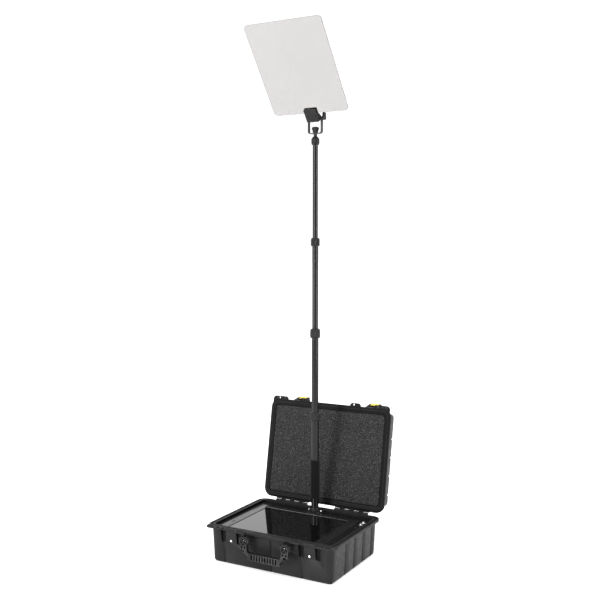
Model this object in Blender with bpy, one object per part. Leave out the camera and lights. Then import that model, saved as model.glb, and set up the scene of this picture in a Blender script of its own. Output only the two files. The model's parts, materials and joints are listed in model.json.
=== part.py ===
"""Case teleprompter: a monitor lying face up in a carry case, and a telescopic pole with tilting glass.

Metres, +Z up. The origin is the centre of the case's underside, on the floor. +X runs along the case's
width, -Y is the front with the handle, and +Y is the back with the lid's hinges.
The lid is built closed around its hinge axis, and its parent empty turns it open.
The glass and its clamp are built lying flat around the tilt axis, and their parent empty tilts them.
"""
from math import cos, pi, radians, sin

import bmesh
import bpy
from mathutils import Matrix, Vector

# ---- driving dimensions ---------------------------------------------------------------------------
GAP = 0.0003                    # clearance between pieces that touch

CASE_WIDTH = 0.550              # over the rim's lips, along X
CASE_DEPTH = 0.409              # over the rim's lips, along Y
BASE_HEIGHT = 0.144             # floor to the base's rim
LID_HEIGHT = 0.090              # the lid's rim to its outer face
WALL = 0.005
DRAFT = 0.0064                  # how far each wall leans in over the base's height
LIP_OVERHANG = 0.0135           # how far the lip stands out of the wall
LIP_HEIGHT = 0.011
RIM_WIDTH = 0.0235              # lip's outer edge to the inner wall
CORNER_RADIUS = 0.036           # of the lip, in plan
BOTTOM_ROUND = 0.011
GASKET_INSET = 0.0085           # lip's outer edge to the gasket's groove
GASKET_WIDTH = 0.0055
GASKET_DEPTH = 0.0035

LID_OPEN_ANGLE = 100.0          # degrees from closed
HINGE_Y = CASE_DEPTH / 2 + 0.0092
HINGE_Z = BASE_HEIGHT - 0.0019
HINGE_RADIUS = 0.0055
HINGE_PIN_RADIUS = 0.0020
HINGE_INNER_X = 0.063           # each hinge runs from here ...
HINGE_OUTER_X = 0.210           # ... to here
HINGE_KNUCKLES = 7

LATCH_X = 0.168
LATCH_WIDTH = 0.050
LATCH_LENGTH = 0.056
LATCH_ARM = 0.0085              # width of each of its two side arms
LATCH_REST_ANGLE = 17.0         # degrees that an open latch stands off the lid's wall
LATCH_PIVOT_HEIGHT = 0.040      # above the lid's rim plane
LATCH_PIVOT_OUT = 0.0072        # out of the lid's wall
LATCH_BARREL = 0.0050           # radius around the latch's pin
LATCH_PIN_RADIUS = 0.0018
LATCH_BUTTON_START = 0.029      # pin to the button, along the latch
POCKET_OFFSET = 0.034           # latch's middle to the middle of a pocket beside its seat
POCKET_WIDTH = 0.022
POCKET_DEPTH = 0.0065
POCKET_Z = (0.084, 0.1285)
FLANGE_INNER = (0.093, 0.140)   # flanges on the front lips, on both sides of each latch
FLANGE_OUTER = (0.197, 0.254)
FLANGE_REACH = 0.012
PADLOCK_X = (-0.238, 0.110)     # two of the flanges have a hole for a padlock
PADLOCK_HOLE_RADIUS = 0.004
STRIKE_HEIGHT = 0.0925
STRIKE_RADIUS = 0.0046

HANDLE_Y = -0.2245
HANDLE_PIVOT_Z = 0.118
HANDLE_HALF_WIDTH = 0.1025
HANDLE_ARM = 0.030
HANDLE_TOP = 0.131
HANDLE_BOTTOM = 0.049
HANDLE_GRIP_HEIGHT = 0.027
HANDLE_CHAMFER = 0.038
HANDLE_THICKNESS = 0.014
HANDLE_PIN_RADIUS = 0.003
HANDLE_ROUND = 0.006            # cut off the arms' upper corners
BRACKET_EAR = 0.0036            # thickness of a bracket's side
BRACKET_HALF_HEIGHT = 0.009

DECK_TOP = 0.1345
DECK_THICKNESS = 0.003
BEZEL_X = (-0.232, 0.212)
BEZEL_Y = (-0.1795, 0.1465)
BEZEL_TOP = 0.1385
DISPLAY_X = (-0.194, 0.172)
DISPLAY_Y = (-0.168, 0.115)
SCREEN_TOP = 0.1370
HOUSING_DEPTH = 0.045
HOUSING_SKIN = 0.0015
BUTTON_Y = -0.105               # the button on the bezel's left strip
BUTTON_HALF = (0.0030, 0.0050)
CONNECTOR_X = 0.2315
POWER_SOCKET_Y = 0.128
POWER_SOCKET_RADII = (0.0082, 0.0030)       # barrel and bore
VIDEO_SOCKET_Y = 0.104
VIDEO_SOCKET_RADII = (0.0072, 0.0035)
SWITCH_Y = 0.066
SWITCH_HALF = (0.0058, 0.0085)
RAIL_WIDTH = 0.018
RAIL_DEPTH = 0.022
RAIL_SKIN = 0.002

POLE_Y = 0.163
TUBE_RADII = (0.0150, 0.0135, 0.0120, 0.0104)
TUBE_WALL = 0.0012
TUBE_BOTTOMS = (0.1400, 0.4700, 0.7900, 1.1550)
TUBE_TOPS = (0.5250, 0.8600, 1.2200, 1.6000)
GRIP_RANGE = (0.1920, 0.3476)
GRIP_RADIUS = 0.0200
COLLAR_RANGES = ((0.5040, 0.5380), (0.8370, 0.8730), (1.2000, 1.2327))
COLLAR_RADII = (0.0205, 0.0200, 0.0175)
HEAD_RANGE = (1.5960, 1.6270)
HEAD_RADIUS = 0.0160
NECK_RADIUS = 0.0070
YOKE_BASE_Z = 1.6385
YOKE_THICKNESS = 0.0030
YOKE_STRIP_WIDTH = 0.0150
YOKE_SPREAD = 0.057             # between the arms' middles
YOKE_BEND = 0.010
KNOB_TOP = 1.6665
STUD_RADIUS = 0.0040
STUD_LENGTH = 0.014
BOLT_RADIUS = 0.0030
LEVER_REACH = 0.0145
LEVER_RISE = 0.0225
LEVER_WIDTH = 0.011
FLANGE_HALF_WIDTH = 0.033       # the pole's foot on the deck
FLANGE_THICKNESS = 0.0062
FLANGE_TOP = 0.1530
FLANGE_SCREW_X = 0.026

TILT_Z = 1.6970
GLASS_TILT = 52.3               # degrees above level, leaning to the front
GLASS_WIDTH = 0.325
GLASS_LENGTH = 0.380
GLASS_THICKNESS = 0.004
GLASS_CORNER = 0.015
GLASS_FOOT = 0.0346             # tilt axis to the glass's lower edge, along the glass
GLASS_OFFSET = 0.0153           # tilt axis to the glass's middle plane, across it
CLAMP_WIDTH = 0.0534
CLAMP_BELOW = 0.036             # how far the clamp reaches past the glass's edge
CLAMP_ABOVE = 0.020             # how far it covers the glass
PAD_THICKNESS = 0.0012
JAW_THICKNESS = 0.0045
LUG_RADIUS = 0.0078             # around the pivot bolt
CLAMP_SCREW_X = 0.0185
CLAMP_SCREW_RADIUS = 0.0020


# ---- materials ------------------------------------------------------------------------------------
def material(name, colour, roughness, metallic=0.0, alpha=1.0):
    """A Principled material with one colour."""
    new = bpy.data.materials.new(name)
    new.use_nodes = True
    shader = new.node_tree.nodes["Principled BSDF"]
    shader.inputs["Base Color"].default_value = (*colour, 1.0)
    shader.inputs["Roughness"].default_value = roughness
    shader.inputs["Metallic"].default_value = metallic
    shader.inputs["Alpha"].default_value = alpha
    return new


def all_materials():
    """Every finish on the object, by name."""
    return {
        "case_plastic": material("case_plastic", (0.060, 0.058, 0.060), 0.55),
        "gasket_rubber": material("gasket_rubber", (0.020, 0.020, 0.020), 0.75),
        "case_foam": material("case_foam", (0.052, 0.051, 0.053), 0.95),
        "latch_plastic": material("latch_plastic", (0.022, 0.022, 0.023), 0.45),
        "button_yellow": material("button_yellow", (0.700, 0.520, 0.020), 0.40),
        "steel": material("steel", (0.600, 0.600, 0.600), 0.30, 1.0),
        "deck_black": material("deck_black", (0.014, 0.014, 0.015), 0.50),
        "bezel_plastic": material("bezel_plastic", (0.040, 0.041, 0.042), 0.32),
        "screen_gloss": material("screen_gloss", (0.006, 0.006, 0.007), 0.04),
        "housing_metal": material("housing_metal", (0.220, 0.220, 0.230), 0.45, 0.6),
        "panel_core": material("panel_core", (0.050, 0.050, 0.055), 0.35),
        "board_green": material("board_green", (0.015, 0.100, 0.040), 0.50),
        "pole_black": material("pole_black", (0.025, 0.025, 0.027), 0.30, 0.5),
        "grip_foam": material("grip_foam", (0.012, 0.012, 0.012), 0.90),
        "collar_black": material("collar_black", (0.018, 0.018, 0.019), 0.50),
        "nylon": material("nylon", (0.500, 0.490, 0.460), 0.50),
        "clamp_black": material("clamp_black", (0.022, 0.021, 0.023), 0.55, 0.2),
        "pad_rubber": material("pad_rubber", (0.015, 0.015, 0.015), 0.80),
        "prompter_glass": material("prompter_glass", (0.720, 0.710, 0.700), 0.05, 0.0, 0.55),
    }


# ---- modelling tools ------------------------------------------------------------------------------
def finish(name, work, finish_name, smooth=False):
    """Turns a bmesh into a named object, with its faces pointing out."""
    bmesh.ops.recalc_face_normals(work, faces=work.faces[:])
    mesh = bpy.data.meshes.new(name)
    work.to_mesh(mesh)
    work.free()
    mesh.materials.append(MATERIALS[finish_name])
    if smooth:
        mesh.shade_smooth()
        mesh.set_sharp_from_angle(angle=radians(35))
    piece = bpy.data.objects.new(name, mesh)
    bpy.context.scene.collection.objects.link(piece)
    return piece


def loft(name, loops, finish_name, closed=False, smooth=False):
    """Joins outlines of equal point counts one after the other, and caps the ends unless it's closed."""
    work = bmesh.new()
    rings = [[work.verts.new(point) for point in loop] for loop in loops]
    pairs = list(zip(rings, rings[1:]))
    if closed:
        pairs.append((rings[-1], rings[0]))
    for lower, upper in pairs:
        for i, corner in enumerate(lower):
            j = (i + 1) % len(lower)
            work.faces.new((corner, lower[j], upper[j], upper[i]))
    if not closed:
        work.faces.new(rings[0])
        work.faces.new(rings[-1])
    return finish(name, work, finish_name, smooth)


def rounded_outline(x_range, y_range, radius, z, steps=4):
    """A rectangle with round corners at height z, as a list of points."""
    centres = ((x_range[1], y_range[1], -1, -1), (x_range[0], y_range[1], 1, -1),
               (x_range[0], y_range[0], 1, 1), (x_range[1], y_range[0], -1, 1))
    points = []
    for corner, (x, y, inward_x, inward_y) in enumerate(centres):
        for step in range(steps + 1):
            angle = (corner + step / steps) * pi / 2
            points.append(Vector((x + inward_x * radius + radius * cos(angle),
                                  y + inward_y * radius + radius * sin(angle), z)))
    return points


def centred_outline(half_x, half_y, radius, z, steps=4):
    """A round-cornered rectangle around the Z axis."""
    return rounded_outline((-half_x, half_x), (-half_y, half_y), radius, z, steps)


def slab(name, x_range, y_range, z_range, finish_name, radius=0.0, steps=3):
    """A flat block, with round corners in plan if it has a radius."""
    if radius:
        loops = [rounded_outline(x_range, y_range, radius, z, steps) for z in z_range]
    else:
        loops = [[(x_range[i], y_range[j], z) for i, j in ((0, 0), (1, 0), (1, 1), (0, 1))]
                 for z in z_range]
    return loft(name, loops, finish_name)


def turned(name, profile, finish_name, centre=(0, 0, 0), axis="Z", segments=24, hollow=False):
    """A turned piece from (radius, height) points. A hollow one is a closed ring profile."""
    work = bmesh.new()
    turns = [(cos(2 * pi * i / segments), sin(2 * pi * i / segments)) for i in range(segments)]
    rings = [[work.verts.new((radius * c, radius * s, height)) for c, s in turns]
             for radius, height in profile]
    pairs = list(zip(rings, rings[1:]))
    if hollow:
        pairs.append((rings[-1], rings[0]))
    for lower, upper in pairs:
        for i in range(segments):
            j = (i + 1) % segments
            work.faces.new((lower[i], lower[j], upper[j], upper[i]))
    if not hollow:
        work.faces.new(rings[0])
        work.faces.new(rings[-1])
    turn = {"Z": Matrix.Identity(4), "X": Matrix.Rotation(pi / 2, 4, "Y"),
            "Y": Matrix.Rotation(-pi / 2, 4, "X")}[axis]
    work.transform(Matrix.Translation(centre) @ turn)
    return finish(name, work, finish_name, smooth=True)


def tube_profile(outer, inner, low, high):
    """The ring profile of a plain tube."""
    return [(outer, low), (outer, high), (inner, high), (inner, low)]


def side_extrusion(name, outline, x_range, finish_name):
    """Extrudes a (y, z) outline along X."""
    loops = [[(x, y, z) for y, z in outline] for x in x_range]
    return loft(name, loops, finish_name)


def front_extrusion(name, outline, y_range, finish_name):
    """Extrudes an (x, z) outline along Y."""
    loops = [[(x, y, z) for x, z in outline] for y in y_range]
    return loft(name, loops, finish_name)


def arc(centre, radius, start, end, steps):
    """Points on an arc, angles in degrees."""
    angles = [radians(start + (end - start) * i / steps) for i in range(steps + 1)]
    return [(centre[0] + radius * cos(a), centre[1] + radius * sin(a)) for a in angles]


def combine(piece, others, operation):
    """Adds or cuts other solids with exact Booleans, and leaves those solids out of the model."""
    for other in others:
        step = piece.modifiers.new(operation.lower(), "BOOLEAN")
        step.operation = operation
        step.solver = "EXACT"
        step.object = other
        other.hide_render = True
        other.display_type = "WIRE"
    return piece


def hang(piece, parent, pivot):
    """Gives a piece its origin at pivot and hangs it under a parent whose frame is still unturned."""
    pivot = Vector(pivot)
    piece.data.transform(Matrix.Translation(-pivot))
    piece.location = pivot - (parent.location if parent else Vector((0, 0, 0)))
    piece.parent = parent
    return piece


def pivot_empty(name, location):
    """An empty that carries the pieces of one assembly."""
    empty = bpy.data.objects.new(name, None)
    empty.location = location
    bpy.context.scene.collection.objects.link(empty)
    return empty


# ---- the case -------------------------------------------------------------------------------------
HALF_X = CASE_WIDTH / 2
HALF_Y = CASE_DEPTH / 2
INNER_X = HALF_X - RIM_WIDTH
INNER_Y = HALF_Y - RIM_WIDTH
WALL_X = HALF_X - LIP_OVERHANG
WALL_Y = HALF_Y - LIP_OVERHANG


def rim_loop(inset, z):
    """The outline at a distance in from the lip's edge."""
    return centred_outline(HALF_X - inset, HALF_Y - inset, max(CORNER_RADIUS - inset, 0.006), z)


def shell_loops(height, groove):
    """Outer skin up from the outer face, over the rim, and down the inside, for a shell open upwards."""
    loops = []
    for turn in (0.0, 0.4, 1.0):
        inset = BOTTOM_ROUND * (1 - sin(turn * pi / 2))
        rise = BOTTOM_ROUND * (1 - cos(turn * pi / 2))
        loops.append(rim_loop(LIP_OVERHANG + DRAFT + inset, rise))
    loops.append(rim_loop(LIP_OVERHANG, height - LIP_HEIGHT - 0.003))
    loops.append(rim_loop(0.0, height - LIP_HEIGHT))
    loops.append(rim_loop(0.0, height - 0.0012))
    loops.append(rim_loop(0.0012, height))
    if groove:
        loops.append(rim_loop(GASKET_INSET, height))
        loops.append(rim_loop(GASKET_INSET, height - GASKET_DEPTH))
        loops.append(rim_loop(GASKET_INSET + GASKET_WIDTH, height - GASKET_DEPTH))
        loops.append(rim_loop(GASKET_INSET + GASKET_WIDTH, height))
    loops.append(rim_loop(RIM_WIDTH, height))
    loops.append(rim_loop(RIM_WIDTH, height - LIP_HEIGHT))
    loops.append(rim_loop(LIP_OVERHANG + DRAFT + WALL + 0.002, WALL))
    return loops


def hinge_knuckle(x_low, x_high, for_lid):
    """One barrel of a hinge, with the web that joins it to the lip."""
    lip_y = HALF_Y - 0.0015
    if for_lid:
        web = [(lip_y, BASE_HEIGHT + 2 * GAP), (HINGE_Y - HINGE_RADIUS * 0.9, BASE_HEIGHT + 2 * GAP)]
        barrel = arc((HINGE_Y, HINGE_Z), HINGE_RADIUS, -205, 90, 10)
        end = [(lip_y, HINGE_Z + HINGE_RADIUS)]
    else:
        web = [(lip_y, BASE_HEIGHT - 2 * GAP), (HINGE_Y - HINGE_RADIUS * 0.9, BASE_HEIGHT - 2 * GAP)]
        barrel = arc((HINGE_Y, HINGE_Z), HINGE_RADIUS, 155, -90, 10)
        end = [(lip_y, HINGE_Z - HINGE_RADIUS)]
    return side_extrusion("knuckle_tool", web + barrel + end, (x_low, x_high), "case_plastic")


def hinge_knuckles(for_lid):
    """Every other barrel of both hinges: the even ones are the base's, the odd ones the lid's."""
    pitch = (HINGE_OUTER_X - HINGE_INNER_X) / HINGE_KNUCKLES
    pieces = []
    for side in (-1, 1):
        for i in range(HINGE_KNUCKLES):
            if (i % 2 == 1) == for_lid:
                near = HINGE_INNER_X + i * pitch + GAP
                far = near + pitch - 2 * GAP
                pieces.append(hinge_knuckle(min(side * near, side * far), max(side * near, side * far),
                                            for_lid))
    return pieces


def hinge_bore():
    """The hole for the hinge pins, through every barrel."""
    return turned("hinge_bore_tool", [(HINGE_PIN_RADIUS + GAP, -HINGE_OUTER_X - 0.002),
                                      (HINGE_PIN_RADIUS + GAP, HINGE_OUTER_X + 0.002)],
                  "steel", (0, HINGE_Y, HINGE_Z), "X", 12)


def lip_flanges(z_range, name):
    """The four flanges on a front lip, and the cutters for the padlock holes in two of them."""
    tabs = []
    for side in (-1, 1):
        for near, far in (FLANGE_INNER, FLANGE_OUTER):
            tabs.append(slab(name, (min(side * near, side * far), max(side * near, side * far)),
                             (-HALF_Y - FLANGE_REACH, -HALF_Y + 0.0046), z_range, "case_plastic", 0.003, 2))
    hole = [(PADLOCK_HOLE_RADIUS, z_range[0] - 0.002), (PADLOCK_HOLE_RADIUS, z_range[1] + 0.002)]
    holes = [turned("padlock_hole_tool", hole, "steel", (x, -HALF_Y - FLANGE_REACH * 0.45, 0), "Z", 12)
             for x in PADLOCK_X]
    return tabs, holes


def latch_pockets():
    """Cutters for the two recesses at each latch seat, where a closed latch hooks in."""
    tools = []
    for side in (-1, 1):
        for edge in (-1, 1):
            x = side * LATCH_X + edge * POCKET_OFFSET
            tools.append(slab("latch_pocket_tool", (x - POCKET_WIDTH / 2, x + POCKET_WIDTH / 2),
                              (-WALL_Y - 0.010, -WALL_Y + POCKET_DEPTH), POCKET_Z, "case_plastic"))
    return tools


def base_shell():
    """The moulded lower half of the case."""
    shell = loft("base_shell", shell_loops(BASE_HEIGHT, True), "case_plastic")
    tabs, holes = lip_flanges((BASE_HEIGHT - 0.007, BASE_HEIGHT - 2 * GAP), "base_flange_tool")
    combine(shell, hinge_knuckles(False) + tabs, "UNION")
    combine(shell, holes + latch_pockets() + [hinge_bore()], "DIFFERENCE")
    return hang(shell, None, (0, 0, 0))


def rim_gasket():
    """The rubber cord in the rim's groove."""
    low = BASE_HEIGHT - GASKET_DEPTH + GAP
    high = BASE_HEIGHT - 0.0002
    near = GASKET_INSET + GAP
    far = GASKET_INSET + GASKET_WIDTH - GAP
    middle = (near + far) / 2
    loops = [rim_loop(near, low), rim_loop(near, high - 0.001), rim_loop(middle, high),
             rim_loop(far, high - 0.001), rim_loop(far, low)]
    return loft("rim_gasket", loops, "gasket_rubber", closed=True)


def latch_strikes():
    """The steel catch pins whose heads show between the recesses of each latch seat."""
    wall_top = BASE_HEIGHT - LIP_HEIGHT - 0.003
    wall_y = -WALL_Y + DRAFT * (wall_top - STRIKE_HEIGHT) / (wall_top - BOTTOM_ROUND)
    for side, word in ((-1, "left"), (1, "right")):
        profile = [(STRIKE_RADIUS, 0.0007), (STRIKE_RADIUS, 0.0022), (STRIKE_RADIUS - 0.0008, 0.0032)]
        piece = turned("latch_strike_" + word, [(r, -h) for r, h in profile], "steel",
                       (side * LATCH_X, wall_y, STRIKE_HEIGHT), "Y", 16)
        hang(piece, None, (side * LATCH_X, wall_y, STRIKE_HEIGHT))


def hinge_pins():
    """One steel pin through each hinge."""
    for side, word in ((-1, "left"), (1, "right")):
        middle = side * (HINGE_INNER_X + HINGE_OUTER_X) / 2
        half = (HINGE_OUTER_X - HINGE_INNER_X) / 2 - 0.001
        piece = turned("hinge_pin_" + word, [(HINGE_PIN_RADIUS, -half), (HINGE_PIN_RADIUS, half)],
                       "steel", (middle, HINGE_Y, HINGE_Z), "X", 12)
        hang(piece, None, (middle, HINGE_Y, HINGE_Z))


def lid(pivot):
    """The upper half of the case with its foam, built closed over the base."""
    top = BASE_HEIGHT + 2 * GAP
    loops = [[Vector((p.x, -p.y, top + LID_HEIGHT - p.z)) for p in loop]
             for loop in shell_loops(LID_HEIGHT, False)]
    shell = loft("lid_shell", loops, "case_plastic")
    tabs, holes = lip_flanges((top + GAP, top + 0.006), "lid_flange_tool")
    pivot_y = -WALL_Y - LATCH_PIVOT_OUT
    pivot_z = top + LATCH_PIVOT_HEIGHT
    wall = -WALL_Y + 0.003
    ears = []
    for side in (-1, 1):
        for edge in (-1, 1):
            x = side * LATCH_X + edge * (LATCH_WIDTH / 2 + 0.0035)
            outline = ([(wall, pivot_z - 0.009)] + arc((pivot_y, pivot_z), LATCH_BARREL, -90, -270, 6)
                       + [(wall, pivot_z + 0.009)])
            ears.append(side_extrusion("latch_ear_tool", outline, (x - 0.0028, x + 0.0028),
                                       "case_plastic"))
    bore_profile = [(LATCH_PIN_RADIUS + GAP, -LATCH_X - 0.036), (LATCH_PIN_RADIUS + GAP, LATCH_X + 0.036)]
    pin_bore = turned("latch_bore_tool", bore_profile, "steel", (0, pivot_y, pivot_z), "X", 10)
    combine(shell, hinge_knuckles(True) + tabs + ears, "UNION")
    combine(shell, holes + [hinge_bore(), pin_bore], "DIFFERENCE")
    for tool in [m.object for m in shell.modifiers]:
        tool.parent = pivot
        tool.location -= pivot.location
    hang(shell, pivot, pivot.location)

    inset = RIM_WIDTH + 0.0016
    foam_loops = [rim_loop(inset, top + 0.0010), rim_loop(inset, top + LIP_HEIGHT - 0.0010),
                  rim_loop(LIP_OVERHANG + DRAFT + WALL + 0.0065, top + LID_HEIGHT - WALL - GAP)]
    hang(loft("lid_foam", foam_loops, "case_foam"), pivot, pivot.location)


def latches(lid_pivot):
    """Two latches that stand half open off the lid's front wall, each with a pin and a yellow button.

    Each is built flat along the wall, and its own empty turns it out about its pin.
    """
    pivot_y = -WALL_Y - LATCH_PIVOT_OUT
    pivot_z = BASE_HEIGHT + 2 * GAP + LATCH_PIVOT_HEIGHT
    near = pivot_y + LATCH_BARREL
    far = pivot_y - 0.0060
    tip = pivot_z + LATCH_LENGTH
    half = LATCH_WIDTH / 2
    well = half - LATCH_ARM
    button_low = pivot_z + LATCH_BUTTON_START
    for side, word in ((-1, "left"), (1, "right")):
        x = side * LATCH_X
        pivot = (x, pivot_y, pivot_z)
        pin = turned("latch_pin_" + word, [(LATCH_PIN_RADIUS, -0.0300), (LATCH_PIN_RADIUS, 0.0300)],
                     "steel", pivot, "X", 10)
        hang(pin, lid_pivot, pivot)
        swing = pivot_empty("latch_axis_" + word, Vector(pivot))

        outline = (arc((pivot_y, pivot_z), LATCH_BARREL, -180, 0, 6)
                   + [(near, tip - 0.004), (near - 0.003, tip), (far + 0.002, tip), (far, tip - 0.004),
                      (far, pivot_z + 0.006)])
        body = side_extrusion("latch_" + word, outline, (x - half, x + half), "latch_plastic")
        bore_profile = [(LATCH_PIN_RADIUS + GAP, -0.030), (LATCH_PIN_RADIUS + GAP, 0.030)]
        bore = turned("latch_pin_bore_tool", bore_profile, "steel", pivot, "X", 10)
        notch = slab("button_notch_tool", (x - well, x + well), (far - 0.002, near + 0.002),
                     (button_low, tip + 0.002), "latch_plastic")
        pocket = slab("latch_hollow_tool", (x - well, x + well), (far - 0.002, far + 0.0060),
                      (pivot_z + 0.010, button_low - 0.004), "latch_plastic")
        tools = [bore, notch, pocket]
        combine(body, tools, "DIFFERENCE")
        for tool in tools:
            tool.parent = swing
            tool.location -= swing.location
        hang(body, swing, pivot)

        inset = 2 * GAP
        button = slab("latch_button_" + word, (x - well + inset, x + well - inset),
                      (far - 0.0040, near - 0.0035), (button_low + inset, tip - 0.0005), "button_yellow")
        hang(button, swing, (x, far, button_low))
        swing.location -= lid_pivot.location
        swing.parent = lid_pivot
        swing.rotation_euler.x = radians(LATCH_REST_ANGLE)


def handle():
    """The carry handle with its two brackets and hinge pins, hanging down."""
    w = HANDLE_HALF_WIDTH
    inner = w - HANDLE_ARM
    grip_top = HANDLE_BOTTOM + HANDLE_GRIP_HEIGHT
    cut = HANDLE_ROUND
    fillet = 0.008
    left_half = [(-w, HANDLE_TOP - cut), (-w + cut, HANDLE_TOP), (-inner - cut, HANDLE_TOP),
                 (-inner, HANDLE_TOP - cut), (-inner, grip_top + fillet), (-inner + fillet, grip_top)]
    lower = [(w, HANDLE_BOTTOM + HANDLE_CHAMFER), (w - HANDLE_CHAMFER, HANDLE_BOTTOM),
             (-w + HANDLE_CHAMFER, HANDLE_BOTTOM), (-w, HANDLE_BOTTOM + HANDLE_CHAMFER)]
    outline = left_half + [(-x, z) for x, z in reversed(left_half)] + lower
    half = HANDLE_THICKNESS / 2
    body = front_extrusion("handle", outline, (HANDLE_Y - half, HANDLE_Y + half), "latch_plastic")
    bore_profile = [(HANDLE_PIN_RADIUS + GAP, -w - 0.01), (HANDLE_PIN_RADIUS + GAP, w + 0.01)]
    bore = turned("handle_bore_tool", bore_profile, "steel", (0, HANDLE_Y, HANDLE_PIVOT_Z), "X", 12)
    combine(body, [bore], "DIFFERENCE")
    hang(body, None, (0, HANDLE_Y, HANDLE_PIVOT_Z))

    back = -WALL_Y - GAP
    for side, word in ((-1, "left"), (1, "right")):
        middle = side * (w - HANDLE_ARM / 2)
        reach = HANDLE_ARM / 2 + 2 * GAP
        ear = BRACKET_EAR
        plan = [(-reach - ear, back), (-reach - ear, HANDLE_Y - 0.005), (-reach, HANDLE_Y - 0.005),
                (-reach, back - 0.005), (reach, back - 0.005), (reach, HANDLE_Y - 0.005),
                (reach + ear, HANDLE_Y - 0.005), (reach + ear, back)]
        loops = [[(middle + x, y, z) for x, y in plan]
                 for z in (HANDLE_PIVOT_Z - BRACKET_HALF_HEIGHT, HANDLE_PIVOT_Z + BRACKET_HALF_HEIGHT)]
        bracket = loft("handle_bracket_" + word, loops, "latch_plastic")
        combine(bracket, [bore], "DIFFERENCE")
        hang(bracket, None, (0, 0, 0))
        length = HANDLE_ARM / 2 + ear
        pin = turned("handle_pin_" + word, [(HANDLE_PIN_RADIUS, -length), (HANDLE_PIN_RADIUS, length)],
                     "steel", (middle, HANDLE_Y, HANDLE_PIVOT_Z), "X", 12)
        hang(pin, None, (middle, HANDLE_Y, HANDLE_PIVOT_Z))


# ---- what the case holds --------------------------------------------------------------------------
def frame_ring(name, outer, inner, z_range, finish_name):
    """A flat frame with a window. outer and inner are (x range, y range, corner radius)."""
    low, high = z_range
    loops = [rounded_outline(*outer, low, 3), rounded_outline(*outer, high, 3),
             rounded_outline(*inner, high, 3), rounded_outline(*inner, low, 3)]
    return loft(name, loops, finish_name, closed=True)


def deck():
    """The black plate that closes the base around the monitor, on two angle rails."""
    edge = 0.0016
    outer = ((-INNER_X + edge, INNER_X - edge), (-INNER_Y + edge, INNER_Y - edge), 0.010)
    window = ((DISPLAY_X[0] - 0.020, DISPLAY_X[1] + 0.020),
              (DISPLAY_Y[0] + 0.004, DISPLAY_Y[1] + 0.014), 0.003)
    plate = frame_ring("deck_plate", outer, window, (DECK_TOP - DECK_THICKNESS, DECK_TOP), "deck_black")
    through = (DECK_TOP - 0.01, DECK_TOP + 0.01)
    tools = []
    for y, radii in ((POWER_SOCKET_Y, POWER_SOCKET_RADII), (VIDEO_SOCKET_Y, VIDEO_SOCKET_RADII)):
        tools.append(turned("socket_hole_tool", [(radii[0] + GAP, z) for z in through],
                            "steel", (CONNECTOR_X, y, 0), "Z", 16))
    room = (SWITCH_HALF[0] + 0.0007, SWITCH_HALF[1] + 0.0015)
    tools.append(slab("switch_hole_tool", (CONNECTOR_X - room[0], CONNECTOR_X + room[0]),
                      (SWITCH_Y - room[1], SWITCH_Y + room[1]), through, "steel"))
    combine(plate, tools, "DIFFERENCE")
    hang(plate, None, (0, 0, 0))

    top = DECK_TOP - DECK_THICKNESS - GAP
    for side, word in ((-1, "left"), (1, "right")):
        outer = side * (INNER_X - edge)
        web = outer - side * RAIL_SKIN
        toe = outer - side * RAIL_WIDTH
        section = [(outer, top), (outer, top - RAIL_DEPTH), (web, top - RAIL_DEPTH), (web, top - RAIL_SKIN),
                   (toe, top - RAIL_SKIN), (toe, top)]
        rail = front_extrusion("deck_rail_" + word, section, (-INNER_Y + 0.012, 0.040), "housing_metal")
        hang(rail, None, (0, 0, 0))


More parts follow.
